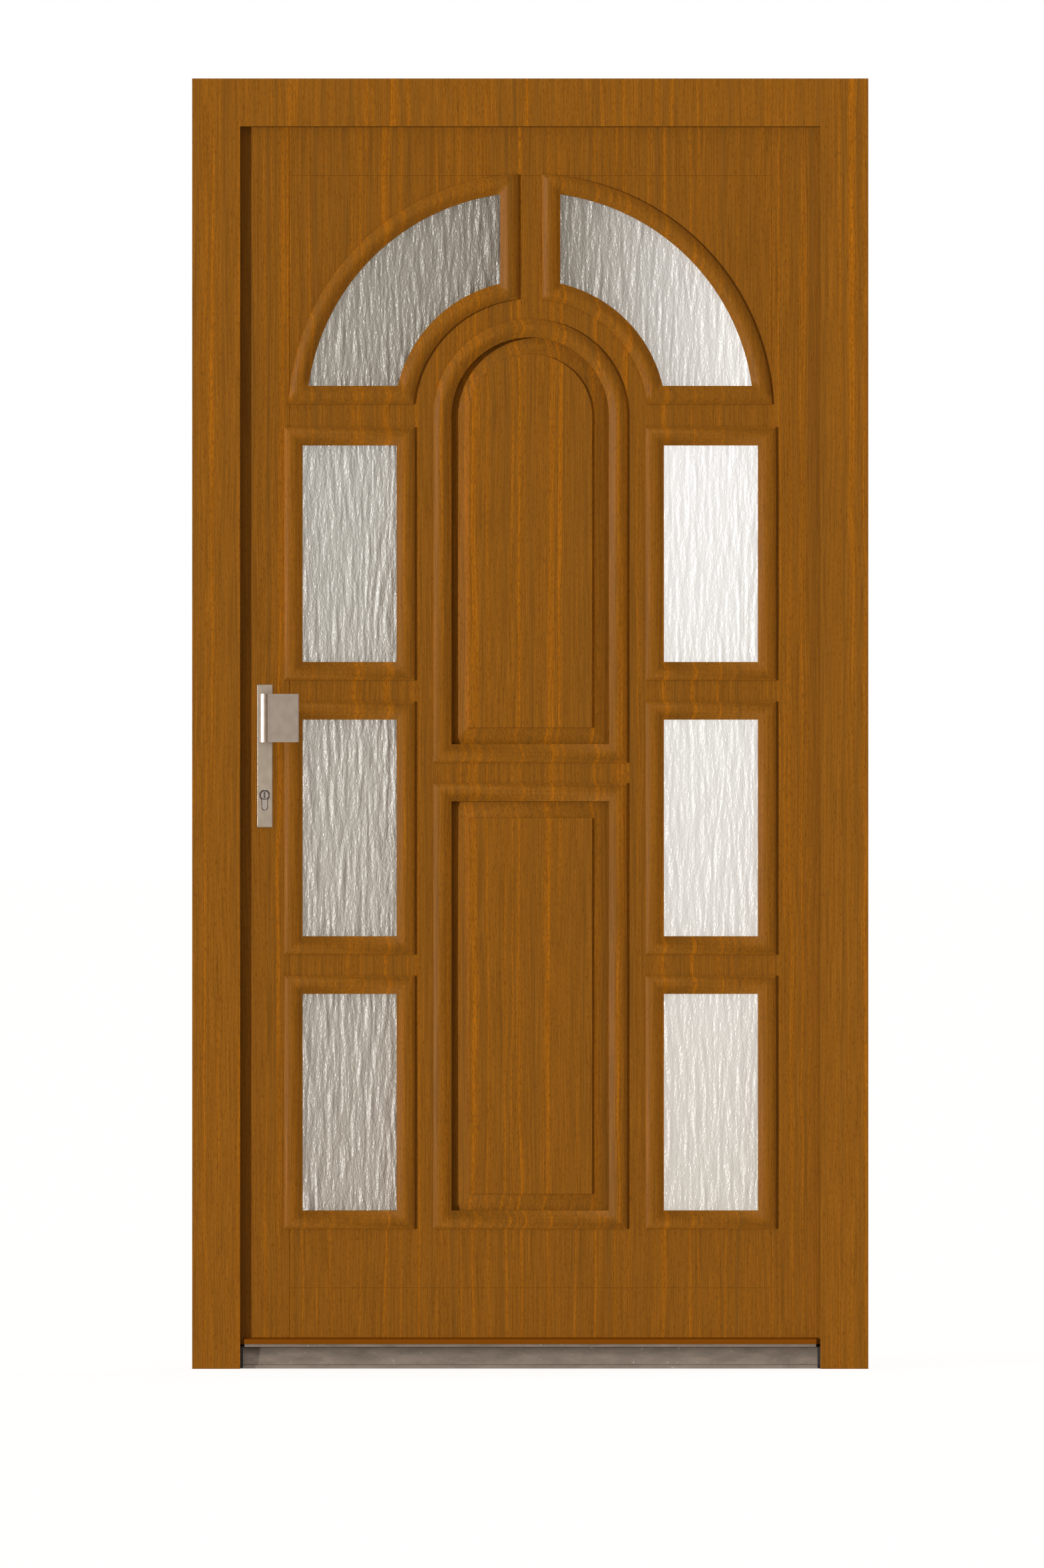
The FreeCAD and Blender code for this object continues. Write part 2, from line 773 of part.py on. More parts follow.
def drip_bar():
    """A bar on the foot of the leaf that throws rain off, its top sloping down to the front."""
    body = new_body("drip_bar")
    end = LIP_SIDE - size["drip_side_gap"]
    nose = LEAF_FRONT - size["drip_reach"]
    high = LEAF_LOW + size["drip_height"]
    section = [
        (nose, LEAF_LOW), (LEAF_FRONT, LEAF_LOW), (LEAF_FRONT, high), (nose, high - size["drip_fall"]),
    ]
    pad(body, YZ, -end, end, section)
    return keep(body)


def lock_plate(label, start, end, front):
    """A long narrow plate with a bevelled face and the cylinder's opening."""
    body = new_body(label)
    half = size["plate_width"] / 2
    low = size["plate_low"]
    shape = rectangle(LOCK_X - half, LOCK_X + half, low, low + size["plate_height"])
    blank = pad(body, XZ, start, end, shape)
    bevel_face(body, blank, front, size["plate_bevel"])
    pocket(body, XZ, start, end, euro(size["cylinder_fit"]))
    return body


def escutcheon():
    return keep(lock_plate("escutcheon_outside", PLATE_FRONT, LEAF_FRONT, True))


def inside_plate():
    body = lock_plate("inside_plate", LEAF_BACK, PLATE_BACK, False)
    hole = (LOCK_X, SPINDLE_Z, size["lever_radius"] + size["cylinder_fit"])
    pocket(body, XZ, LEAF_BACK, PLATE_BACK, circle=hole)
    return keep(body)


def outside_knob():
    """A fixed pull: a square plate held off the lock plate by a rounded full-height neck."""
    body = new_body("outside_knob")
    left = LOCK_X - size["knob_left"]
    neck = left + size["knob_neck"]
    right = left + size["knob_width"]
    front = PLATE_FRONT - size["knob_stand"]
    back = front + size["knob_thick"]
    curve = size["knob_neck"]
    groove = size["knob_groove"]
    section = [
        (left, PLATE_FRONT), (left, front + curve, curve, -1),
        (neck, front), (neck, front + groove), (neck + groove, front + groove), (neck + groove, front),
        (right - groove, front), (right, front + groove), (right, back),
        (neck, back), (neck, PLATE_FRONT),
    ]
    low = size["plate_low"] + size["knob_rise"] - size["knob_height"] / 2
    pad(body, XY, low, low + size["knob_height"], section)
    return keep(body)


def inside_lever():
    """The lever handle on the inside, on its square spindle."""
    body = new_body("inside_lever")
    radius = size["lever_radius"]
    front = PLATE_BACK + size["lever_stand"]
    pad(body, XZ, LEAF_BACK, front, circle=(LOCK_X, SPINDLE_Z, radius))
    half = size["spindle_size"] / 2
    depth = LEAF_BACK - size["leaf_thickness"] / 2
    pad(body, XZ, depth, LEAF_BACK, rectangle(LOCK_X - half, LOCK_X + half, SPINDLE_Z - half, SPINDLE_Z + half))
    grip_end = LOCK_X + size["lever_length"]
    grip = [
        (LOCK_X, SPINDLE_Z - radius), (grip_end, SPINDLE_Z - radius, radius, 1),
        (grip_end + radius, SPINDLE_Z, radius, 1), (grip_end, SPINDLE_Z + radius),
        (LOCK_X, SPINDLE_Z + radius, radius, 1), (LOCK_X - radius, SPINDLE_Z, radius, 1),
    ]
    blank = pad(body, XZ, front - size["lever_thick"], front, grip)
    bevel_face(body, blank, False, size["plate_bevel"])
    return keep(body)


def lock_cylinder():
    """The double cylinder through the stile, bored from the outside for its plug."""
    body = new_body("lock_cylinder")
    front = PLATE_FRONT - size["cylinder_proud"]
    pad(body, XZ, front, PLATE_BACK + size["cylinder_proud"], euro(as_size(0)))
    bore = (LOCK_X, PLUG_Z, size["plug_radius"] + size["plug_fit"])
    pocket(body, XZ, front, front + size["plug_length"], circle=bore)
    return keep(body)


def cylinder_plug():
    """The plug that the key turns, with its key slot."""
    body = new_body("cylinder_plug")
    front = PLATE_FRONT - size["cylinder_proud"]
    end = front + size["plug_length"] - size["plug_fit"]
    pad(body, XZ, front, end, circle=(LOCK_X, PLUG_Z, size["plug_radius"]))
    half_width = size["key_slot_width"] / 2
    half_height = size["key_slot_height"] / 2
    slot = rectangle(LOCK_X - half_width, LOCK_X + half_width, PLUG_Z - half_height, PLUG_Z + half_height)
    pocket(body, XZ, front, front + size["key_slot_depth"], slot)
    return keep(body)


def bolt_outline(centre_z, grow):
    half_width = size["bolt_width"] / 2 + grow
    half_height = size["bolt_height"] / 2 + grow
    return rectangle(FRONT_Y - half_width, FRONT_Y + half_width, centre_z - half_height, centre_z + half_height)


BOLT_HEIGHTS = (PLUG_Z, SPINDLE_Z)


def lock_faceplate():
    """The mortise lock's front in the edge of the leaf, with its latch and dead bolt drawn in."""
    body = new_body("lock_faceplate")
    pad(body, YZ, -LEAF_SIDE, -LEAF_SIDE + size["front_thick"], lock_front_outline())
    for height in BOLT_HEIGHTS:
        pad(body, YZ, -LEAF_SIDE - size["bolt_proud"], -LEAF_SIDE, bolt_outline(height, as_size(0)))
    return keep(body)


def strike_outline():
    margin = size["strike_margin"]
    return rectangle(FRONT_Y - size["front_width"] / 2, FRONT_Y + size["front_width"] / 2,
                     PLUG_Z - size["bolt_height"] / 2 - margin * 2, SPINDLE_Z + size["bolt_height"] / 2 + margin * 2)


def strike_plate():
    """The plate in the jamb's rebate that takes the latch and the dead bolt."""
    body = new_body("strike_plate")
    pad(body, YZ, -REBATE_SIDE - size["front_thick"], -REBATE_SIDE, strike_outline())
    for height in BOLT_HEIGHTS:
        pocket(body, YZ, -REBATE_SIDE - size["front_thick"], -REBATE_SIDE, bolt_outline(height, size["bolt_air"]))
    return keep(body)


def lock_jamb():
    """The left jamb is let in for the strike plate and hollowed behind its two holes."""
    body = frame_jamb("frame_jamb_lock", -1)
    pocket(body, YZ, -REBATE_SIDE - size["front_thick"], -REBATE_SIDE, strike_outline())
    for height in BOLT_HEIGHTS:
        pocket(body, YZ, -REBATE_SIDE - size["mortise_depth"], -REBATE_SIDE, bolt_outline(height, size["bolt_air"]))
    return body


def hinge(name, centre):
    """A lift-off hinge: the lower half with its pin on the jamb, the upper half on the leaf."""
    half = size["hinge_height"] / 2
    split = size["hinge_split"] / 2
    plate = size["hinge_plate"]
    radius = size["knuckle_radius"]
    axis = (HINGE_X, HINGE_Y)

    lower = new_body(f"hinge_frame_{name}")
    web = HINGE_X + radius
    jamb_plate = [
        (HINGE_X - size["hinge_plate_in"], BACK), (HINGE_X + size["hinge_plate_out"], BACK),
        (HINGE_X + size["hinge_plate_out"], BACK + plate), (web, BACK + plate), (web, HINGE_Y),
        (HINGE_X, HINGE_Y), (HINGE_X, BACK + plate), (HINGE_X - size["hinge_plate_in"], BACK + plate),
    ]
    pad(lower, XY, centre - half, centre - split, jamb_plate)
    pad(lower, XY, centre - half, centre - split, circle=axis + (radius,))
    pad(lower, XY, centre - split, centre + half - size["hinge_cap"] * 2, circle=axis + (size["pin_radius"],))
    keep(lower)

    upper = new_body(f"hinge_leaf_{name}")
    inner = HINGE_X - size["hinge_leaf_reach"]
    wrap = size["hinge_wrap"]
    leaf_plate = [
        (inner, LEAF_BACK), (FLANGE_SIDE, LEAF_BACK), (HINGE_X, HINGE_Y - wrap), (HINGE_X, HINGE_Y),
        (HINGE_X - wrap, HINGE_Y), (FLANGE_SIDE - plate, LEAF_BACK + plate), (inner, LEAF_BACK + plate),
    ]
    pad(upper, XY, centre + split, centre + half, leaf_plate)
    pad(upper, XY, centre + split, centre + half, circle=axis + (radius,))
    bore = axis + (size["pin_radius"] + size["pin_fit"],)
    pocket(upper, XY, centre + split, centre + half - size["hinge_cap"], circle=bore)
    keep(upper)


def build():
    lock_jamb()
    frame_jamb("frame_jamb_hinge", 1)
    frame_head()
    threshold()
    threshold_caps()
    frame_seal()
    strike_plate()
    leaf_stile_lock()
    keep(leaf_stile("leaf_stile_hinge", 1))
    top_rail()
    bottom_rail()
    infill_panel()
    centre_panel("centre_panel_upper", upper_panel_outline)
    centre_panel("centre_panel_lower", lower_panel_outline)
    glazing()
    mouldings()
    drip_bar()
    leaf_seal()
    bottom_seal()
    escutcheon()
    outside_knob()
    lock_cylinder()
    cylinder_plug()
    inside_plate()
    inside_lever()
    lock_faceplate()
    hinge("low", size["hinge_low"])
    hinge("middle", size["hinge_middle"])
    hinge("high", LEAF_TOP - size["hinge_drop"])
    doc.recompute()


def check_and_write():
    """Stop if anything failed, then write every sub-part."""
    for item in doc.Objects:
        if "Invalid" in item.State or "Error" in item.State:
            raise RuntimeError(f"{item.Label} failed: {item.State}")
    os.makedirs("parts", exist_ok=True)
    for part in parts:
        if part.Shape.isNull() or not part.Shape.isValid():
            raise RuntimeError(f"{part.Label} has no valid shape")
    for part in parts:
        part.Shape.exportStep(f"parts/{part.Label}.step")


build()
check_and_write()
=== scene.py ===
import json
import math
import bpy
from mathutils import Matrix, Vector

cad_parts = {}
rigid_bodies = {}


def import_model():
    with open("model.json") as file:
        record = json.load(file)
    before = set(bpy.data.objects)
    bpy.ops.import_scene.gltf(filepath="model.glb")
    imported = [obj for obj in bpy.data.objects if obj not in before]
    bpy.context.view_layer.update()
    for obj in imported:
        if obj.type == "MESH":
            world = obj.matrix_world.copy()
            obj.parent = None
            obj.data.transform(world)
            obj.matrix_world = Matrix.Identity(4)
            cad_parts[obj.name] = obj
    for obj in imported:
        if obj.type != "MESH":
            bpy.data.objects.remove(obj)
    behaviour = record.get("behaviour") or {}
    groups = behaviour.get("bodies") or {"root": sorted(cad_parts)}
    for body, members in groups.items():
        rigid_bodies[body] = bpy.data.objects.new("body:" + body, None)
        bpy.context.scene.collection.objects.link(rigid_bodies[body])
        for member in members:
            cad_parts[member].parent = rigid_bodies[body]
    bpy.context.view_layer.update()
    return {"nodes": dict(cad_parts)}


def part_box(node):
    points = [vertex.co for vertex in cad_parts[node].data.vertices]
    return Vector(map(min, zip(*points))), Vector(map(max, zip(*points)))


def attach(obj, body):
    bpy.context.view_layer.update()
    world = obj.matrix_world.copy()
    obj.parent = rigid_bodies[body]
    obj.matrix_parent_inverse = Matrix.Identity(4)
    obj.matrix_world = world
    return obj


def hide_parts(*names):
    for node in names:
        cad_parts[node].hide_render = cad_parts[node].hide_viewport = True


bl_info = {
    "name": "Timber entrance door",
    "version": (1, 0, 0),
    "blender": (4, 5, 0),
    "location": "View3D > Sidebar > Door",
    "description": "Dresses a glazed oak entrance door in its frame and lights it for a picture",
    "category": "Object",
}

import bpy
from bpy.props import FloatProperty, FloatVectorProperty, PointerProperty
from mathutils import Vector

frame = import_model()
nodes = frame["nodes"]

MM = 0.001
WHITE = (1, 1, 1, 1)
GLASS_IOR = 1.5
# nearly all values of a noise pattern lie between these two
NOISE_SPAN = (0.3, 0.7)
# share of the painted corner shade on the raised centre panels
PANEL_PAINTED_SHADE = 0.25

# points nearer than this are one, on a part, on the seam of a spun sheet, and at a given depth
WELD = 0.002 * MM
SEAM = 0.01 * MM
AT_DEPTH = 0.05 * MM
# in degrees: what is flat, what is a sharp edge, and up to where faces flow into each other
FLAT_ANGLE = 0.3
SHARP_ANGLE = 38
PANEL_SMOOTH_ANGLE = 10
SHEET_SMOOTH_ANGLE = 60
SCREW_SMOOTH_ANGLE = 30
# how much longer the arched panes' cells are, and how much larger those of the plain sheets
ARCH_CELLS = 1.4
PLAIN_CELLS = 8
# how thin the wiper strip is at its foot
LIP_TAPER = 0.4

# the turn that sets a level plane or the camera upright
UPRIGHT = math.radians(90)
SUN_PLACE = (-4, -6, 3)
FLOOR_SIZE = 400
FLOOR_DROP = 0.5 * MM
# how much light the floor gives back to the door and in the picture
FLOOR_TONES = (0.8, 0.35)
SENSOR_HEIGHT = 24
VIEW_END = 400


def linear(hex_colour):
    """An sRGB hex colour as linear red, green, blue and alpha."""
    channels = [int(hex_colour[start:start + 2], 16) / 255 for start in (0, 2, 4)]
    return [c / 12.92 if c <= 0.04045 else ((c + 0.055) / 1.055) ** 2.4 for c in channels] + [1.0]


def colour_property(name, description, hex_colour):
    return FloatVectorProperty(
        name=name, description=description, subtype="COLOR", size=4, min=0, max=1, default=linear(hex_colour))


def length_property(name, description, millimetres):
    return FloatProperty(
        name=name, description=description, subtype="DISTANCE", unit="LENGTH", default=millimetres * MM)


class OakSettings(bpy.types.PropertyGroup):
    """Stained oak with its grain upright on every piece."""
    dark: colour_property("Dark stripe", "Olive brown between the streaks", "7F5117")
    middle: colour_property("Body colour", "The stain over most of the wood", "8A5615")
    warm: colour_property("Warm streak", "Orange streaks of early wood", "A5630F")
    pore: colour_property("Pore", "Short dark dashes of open pores", "55320A")
    band_width: length_property("Stripe width", "Usual width of a stripe of one tone", 11)
    band_length: length_property("Stripe length", "How far a stripe runs before it fades", 2600)
    fibre_width: length_property("Fibre width", "Width of one fibre bundle", 1.9)
    fibre_length: length_property("Fibre length", "Length of one fibre bundle", 170)
    pore_width: length_property("Pore width", "Width of one pore, drawn as coarse as the picture shows", 1.1)
    pore_length: length_property("Pore length", "Length of one pore", 8)
    wander: length_property("Wander", "How far the grain wanders sideways", 9)
    wander_width: length_property("Wander width", "Width over which the grain wanders alike", 60)
    wander_length: length_property("Wander length", "Length over which the grain wanders alike", 220)
    ripple: length_property("Ripple", "How wavy the rows of pores are", 2)
    ripple_width: length_property("Ripple width", "Width of one wave in the rows of pores", 9)
    ripple_length: length_property("Ripple length", "Length of one wave in the rows of pores", 20)
    slant: FloatProperty(
        name="Slant", description="How far the stripes run aslant through the depth", default=0.7)
    relief: length_property("Relief", "Depth of the grain that the lacquer leaves", 0.3)
    # Painted shade: the corner colour is laid into corners and at the foot of the mouldings, by how enclosed
    # a spot is, where shade falls
    corner: colour_property("Corner stain", "Stain that gathers in corners", "4A2600")
    painted_shade_reach: length_property("Corner width", "How far the gathered stain reaches from a corner", 11)
    painted_shade_depth: FloatProperty(name="Corner depth", description="Share of the gathered stain", default=0.42)
    arris_drop: length_property("Arris drop", "How far a moulding's inner arris lies behind its crest", 2.3)
    arris_worn: length_property("Arris worn", "How far sanding has taken that arris back", 1.5)
    edge_round: length_property("Edge rounding", "Sanded edge of the raised panels", 0.5)


class GlassSettings(bpy.types.PropertyGroup):
    """Ornamental glass pressed with a bark-like pattern."""
    ridge_width: length_property("Ridge width", "Width of one ridge of the pressed relief", 8)
    ridge_length: length_property("Ridge length", "How far a ridge runs upright", 60)
    ridge_height: length_property("Ridge height", "Depth of the pressed relief", 4.5)
    nick_width: length_property("Nick width", "Width of the short nicks between the ridges", 3)
    nick_length: length_property("Nick length", "Height of the short nicks", 16)
    nick_height: length_property("Nick depth", "Depth of the short nicks", 1.2)
    crest_width: length_property("Crest spacing", "Usual distance between two sharp crests", 14)
    crest_length: length_property("Crest length", "How far a sharp crest runs upright", 95)
    crest_height: length_property("Crest height", "Height of the sharp crests", 6)
    sway: length_property("Crest sway", "How far the crests wander sideways", 6)
    sway_width: length_property("Sway width", "Width over which the crests wander alike", 16)
    sway_length: length_property("Sway length", "Height over which the crests wander alike", 30)
    skin_width: length_property("Skin width", "Width of one dimple of the hammered skin", 2.6)
    skin_length: length_property("Skin length", "Height of one dimple of the hammered skin", 6)
    press_depth: length_property("Press depth", "How far the relief's middle lies behind the glass's face", 2)
    cell_across: length_property("Cell across", "Width of one cell of the modelled relief", 1.3)
    cell_along: length_property("Cell along", "Height of one cell of the modelled relief", 3)
    sheet: length_property("Sheet thickness", "Thickness of each glass sheet", 4)
    sheet_arris: length_property("Sheet arris", "Ground edge of the inner sheet", 0.5)
    moulding_lap: length_property("Moulding lap", "How far a moulding reaches from its pane's edge", 20.5)
    ring_width: length_property("Arch width", "From the arched glass's inner to its outer curve", 162)
    clear: colour_property("Clear glass", "Float glass of the inner sheets", "F2F7F4")
    dust_width: length_property("Dust width", "Width of one cloud of dust on it", 40)
    dust_length: length_property("Dust length", "Height of one cloud of dust on it", 60)
    # Painted light and shade: these tones stand for how brightly each pane is lit, the right panes brighter
    # than the left and the arch darker at its top
    grey: colour_property("Left glass, top", "Glass that shows grey daylight", "BFBDB6")
    grey_low: colour_property("Left glass, foot", "The same glass lower down", "B4ACA0")
    arch_left: colour_property("Left arch, outer end", "Arched glass near its outer foot", "ABA69C")
    arch_top: colour_property("Arch top", "Arched glass near the door's middle", "8D8679")
    arch_right: colour_property("Right arch, outer end", "Arched glass where daylight is bright", "F0EEEA")
    bright: colour_property("Right glass, top", "Glass that shows bright daylight", "F1F0EE")
    bright_low: colour_property("Right glass, foot", "The same glass lower down", "D0CAC0")
    # Painted light: the share of each glass's tone that glows by itself, standing in for daylight through it
    dim_painted_glow: FloatProperty(
        name="Grey daylight", description="Share of the left glass's tone that comes through it",
        default=0.12)
    bright_painted_glow: FloatProperty(
        name="Bright daylight", description="Share of the right glass's tone that comes through it",
        default=0.6)


class MetalSettings(bpy.types.PropertyGroup):
    """Lock furniture, threshold and fittings."""
    stainless: colour_property("Stainless steel", "Warm brushed stainless steel of the lock plates", "A39483")
    knob: colour_property("Knob", "Satin stainless steel of the knob, a shade darker", "9D8E80")
    nickel: colour_property("Nickel", "Satin nickel of the lock cylinder", "A89C92")
    steel: colour_property("Steel", "Satin plated steel of the hinges", "9A9A98")
    aluminium: colour_property("Threshold", "Weathered mill aluminium", "8A7C6E")
    grime: colour_property("Grime", "Trodden dirt on the threshold", "4F453C")
    chalk: colour_property("Chalk", "White specks on the threshold", "C9C6C0")
    cloud_width: length_property("Cloud width", "Width of one cloud of grime", 50)
    cloud_height: length_property("Cloud height", "Height of one cloud of grime", 14)
    cloud_depth: length_property("Cloud depth", "Size of one cloud of grime from front to back", 20)
    speck_width: length_property("Speck width", "Width of one cell that may hold a speck", 5)
    speck_height: length_property("Speck height", "Height of one cell that may hold a speck", 4)
    scratch_length: length_property("Scratch length", "Length of one scratch on the threshold", 90)
    scratch_width: length_property("Scratch width", "Width of one scratch on the threshold", 1.5)
    scratch_spacing: length_property("Scratch spacing", "Distance of the scratches from front to back", 10)
    scratch_depth: length_property("Scratch depth", "Depth of one scratch on the threshold", 0.2)
    line_depth: length_property("Brush line depth", "Depth of the lines in brushed metal", 0.1)
    mark_width: length_property("Mark width", "Width of one finger mark", 14)
    mark_length: length_property("Mark length", "Height of one finger mark", 18)
    # Painted shade: a dark rim on the lock cylinder's rounded edge stands for the shade in the gap round it
    painted_gap_shade: colour_property("Worn edge", "Dark tarnished edge of the lock cylinder", "2E1D17")
    gap_shade_width: length_property("Worn edge width", "Width of the cylinder's tarnished edge", 1.4)
    screw_radius: length_property("Screw head", "Radius of a countersunk screw's head", 3.6)
    screw_rise: length_property("Screw rise", "How far a screw's head stands out", 0.5)


class TrimSettings(bpy.types.PropertyGroup):
    """Paint, plastic and rubber."""
    drip_paint: colour_property("Drip bar paint", "Plain brown paint on the drip bar", "7D4502")
    lip_thickness: length_property("Strip thickness", "Thickness of the wiper strip under the drip bar", 3)
    lip_gap: length_property("Strip gap", "Air between the wiper strip and the threshold", 0.6)
    lip_inset: length_property("Strip inset", "How far the strip stands back from the drip bar's faces", 1)
    lip_edge: length_property("Strip edge", "Rounding of the wiper strip's edges", 0.2)
    peel_depth: length_property("Peel depth", "Depth of the orange peel in paint, plastic and rubber", 0.1)
    plastic: colour_property("End caps", "Black moulded end caps", "26221F")
    rubber: colour_property("Seals", "Brown rubber seals", "40260F")


class StageSettings(bpy.types.PropertyGroup):
    """Camera, light and floor."""
    camera_distance: FloatProperty(
        name="Camera distance", description="How far the camera stands in front of the door",
        subtype="DISTANCE", unit="LENGTH", default=40.0)
    camera_x: length_property("Camera to the left", "Sideways place of the camera", -13.4)
    camera_z: length_property("Camera height", "Height of the camera over the floor", 951.8)
    picture_height: FloatProperty(
        name="Picture height", description="Height of what the picture shows at the door's face",
        subtype="DISTANCE", unit="LENGTH", default=2.5516)
    key: FloatProperty(name="Key light", description="Strength of the light from the left", default=2.67)
    key_angle: FloatProperty(
        name="Key angle", description="How far to the left the key light stands", subtype="ANGLE",
        default=math.radians(47))
    key_rise: FloatProperty(
        name="Key rise", description="How far over the horizon the key light stands", subtype="ANGLE",
        default=math.radians(2))
    key_softness: FloatProperty(
        name="Key softness", description="Size of the key light in the sky", subtype="ANGLE",
        default=math.radians(3))
    graze: FloatProperty(
        name="Glass light", description="Strength of the light that skims the glass's relief", default=3.35)
    graze_angle: FloatProperty(
        name="Glass light angle", description="How far to the left the glass light stands", subtype="ANGLE",
        default=math.radians(62))
    inside: FloatProperty(
        name="Inside light", description="Strength of the light on the door's inner side", default=1.9)
    fill: FloatProperty(name="Fill light", description="Strength of the even light all round", default=0.45)
    fill_colour: colour_property("Fill colour", "Warmth that the room gives the even light", "FFF5EA")
    floor_glow: FloatProperty(
        name="Floor glow", description="Own light of the floor in the picture, so that it shows white",
        default=0.85)


def settings(name):
    return getattr(bpy.context.scene, name)


# Materials


def set_inputs(node, inputs):
    """Set a node's inputs, each to a value or to a link from another node."""
    for key, value in inputs.items():
        if isinstance(value, bpy.types.NodeSocket):
            node.id_data.links.new(value, node.inputs[key])
        else:
            node.inputs[key].default_value = value


def add_node(tree, kind, inputs=None, stops=(), **choices):
    """Add one shader node with its choices, its inputs and a colour ramp's stops."""
    node = tree.nodes.new(kind)
    for name, value in choices.items():
        setattr(node, name, value)
    set_inputs(node, inputs or {})
    if stops:
        elements = node.color_ramp.elements
        while len(elements) < len(stops):
            elements.new(1)
        for element, (position, colour) in zip(elements, stops):
            element.position = position
            element.color = colour
    return node


def new_material(name):
    """An empty material with one principled surface. Gives the material, its tree, the surface and the
    place on the object."""
    material = bpy.data.materials.new(name)
    material.use_nodes = True
    tree = material.node_tree
    tree.nodes.clear()
    surface = add_node(tree, "ShaderNodeBsdfPrincipled")
    add_node(tree, "ShaderNodeOutputMaterial", {"Surface": surface.outputs[0]})
    place = add_node(tree, "ShaderNodeTexCoord").outputs["Object"]
    return material, tree, surface, place


def stretch(across, along, deep=None):
    """The scale that makes a pattern this wide and this long, upright, in metres, and as deep as it is
    wide where no depth is given."""
    return (1 / across, 1 / (deep or across), 1 / along)


def noise(tree, place, scale, detail, roughness=0.5, **choices):
    """The outputs of a noise pattern that is drawn out by a scale along each axis."""
    drawn = add_node(tree, "ShaderNodeMapping", {"Vector": place, "Scale": scale})
    inputs = {"Vector": drawn.outputs[0], "Scale": 1, "Detail": detail, "Roughness": roughness}
    return add_node(tree, "ShaderNodeTexNoise", inputs, **choices).outputs


def calculate(tree, operation, *terms, **choices):
    """The result of one sum on values or links."""
    return add_node(tree, "ShaderNodeMath", dict(enumerate(terms)), operation=operation, **choices).outputs[0]


def shift(tree, operation, first, second):
    """The result of one sum on places."""
    return add_node(tree, "ShaderNodeVectorMath", {0: first, 1: second}, operation=operation).outputs[0]


def combine(tree, **parts):
    """A place from its parts along the axes."""
    return add_node(tree, "ShaderNodeCombineXYZ", parts).outputs[0]


def remap(tree, value, span, result):
    """Carry a value from one span to another and hold it at both ends."""
    names = ("Value", "From Min", "From Max", "To Min", "To Max")
    return add_node(tree, "ShaderNodeMapRange", dict(zip(names, (value, *span, *result)))).outputs[0]


def blend(tree, share, first, second):
    """The first colour with a share of the second."""
    return add_node(tree, "ShaderNodeMix", {0: share, 6: first, 7: second}, data_type="RGBA").outputs[2]


def lighten(tree, colour, factor):
    """A colour times a factor."""
    return add_node(tree, "ShaderNodeVectorMath", {0: colour, "Scale": factor}, operation="SCALE").outputs[0]


def bump(tree, height, strength, distance):
    """The normal of a surface that a height pattern roughens."""
    inputs = {"Height": height, "Strength": strength, "Distance": distance}
    return add_node(tree, "ShaderNodeBump", inputs).outputs[0]


def stained_oak(name, painted_shade_depth, fade=1.0):
    """Oak stained golden brown under a matt lacquer: long stripes, fibre bundles and open pores, and
    painted shade that darkens the corners to the given depth. Fade is how much paler the sun has made it."""
    oak = settings("door_oak")
    material, tree, surface, place = new_material(name)

    # the grain wanders a little, so that no stripe is ruler straight
    wander = noise(tree, place, stretch(oak.wander_width, oak.wander_length), detail=1)["Color"]
    centred = shift(tree, "SUBTRACT", wander, (0.5, 0.5, 0.5))
    grain = shift(tree, "ADD", place, shift(tree, "MULTIPLY", centred, (oak.wander, oak.wander, 0)))

    # stripes of tone run through the whole depth, a little aslant
    parts = add_node(tree, "ShaderNodeSeparateXYZ", {0: grain}).outputs
    across = calculate(tree, "MULTIPLY_ADD", parts["Y"], oak.slant, parts["X"])
    ring = combine(tree, X=across, Z=parts["Z"])
    bands = noise(tree, ring, stretch(oak.band_width, oak.band_length), detail=3, roughness=0.62)["Fac"]
    tone = add_node(tree, "ShaderNodeValToRGB", {"Fac": bands},
                    stops=((0.36, oak.dark), (0.47, oak.middle), (0.54, oak.middle), (0.67, oak.warm)))

    # fibre bundles, lighter and darker
    fibres = noise(tree, grain, stretch(oak.fibre_width, oak.fibre_length), detail=2, roughness=0.6)["Fac"]
    shade = remap(tree, fibres, NOISE_SPAN, (0.8 * fade, 1.2 * fade))
    fibred = lighten(tree, tone.outputs[0], shade)

    # open pores in wavy rows, thicker in the warm stripes than in the dark ones
    ripple = noise(tree, place, stretch(oak.ripple_width, oak.ripple_length), detail=0)["Fac"]
    aside = calculate(tree, "MULTIPLY", ripple, oak.ripple)
    wavy = shift(tree, "ADD", grain, combine(tree, X=aside, Y=aside))
    pores = noise(tree, wavy, stretch(oak.pore_width, oak.pore_length), detail=1)["Fac"]
    crowd = calculate(tree, "MULTIPLY_ADD", bands, 0.4, pores)
    open_pore = remap(tree, crowd, (0.74, 0.88), (0, 0.4))
    colour = blend(tree, open_pore, fibred, oak.pore)

    # painted shade: corners and the foot of the mouldings are darkened by how enclosed they are
    corner = add_node(tree, "ShaderNodeAmbientOcclusion", {"Distance": oak.painted_shade_reach}, samples=6)
    painted_shade = remap(tree, corner.outputs["AO"], (0.45, 0.95), (painted_shade_depth, 0))
    relief = calculate(tree, "SUBTRACT", fibres, open_pore)
    set_inputs(surface, {
        "Base Color": blend(tree, painted_shade, colour, oak.corner),
        "Normal": bump(tree, relief, 0.12, oak.relief),
        "Roughness": 0.42,
        "Specular IOR Level": 0.045,
    })
    return material


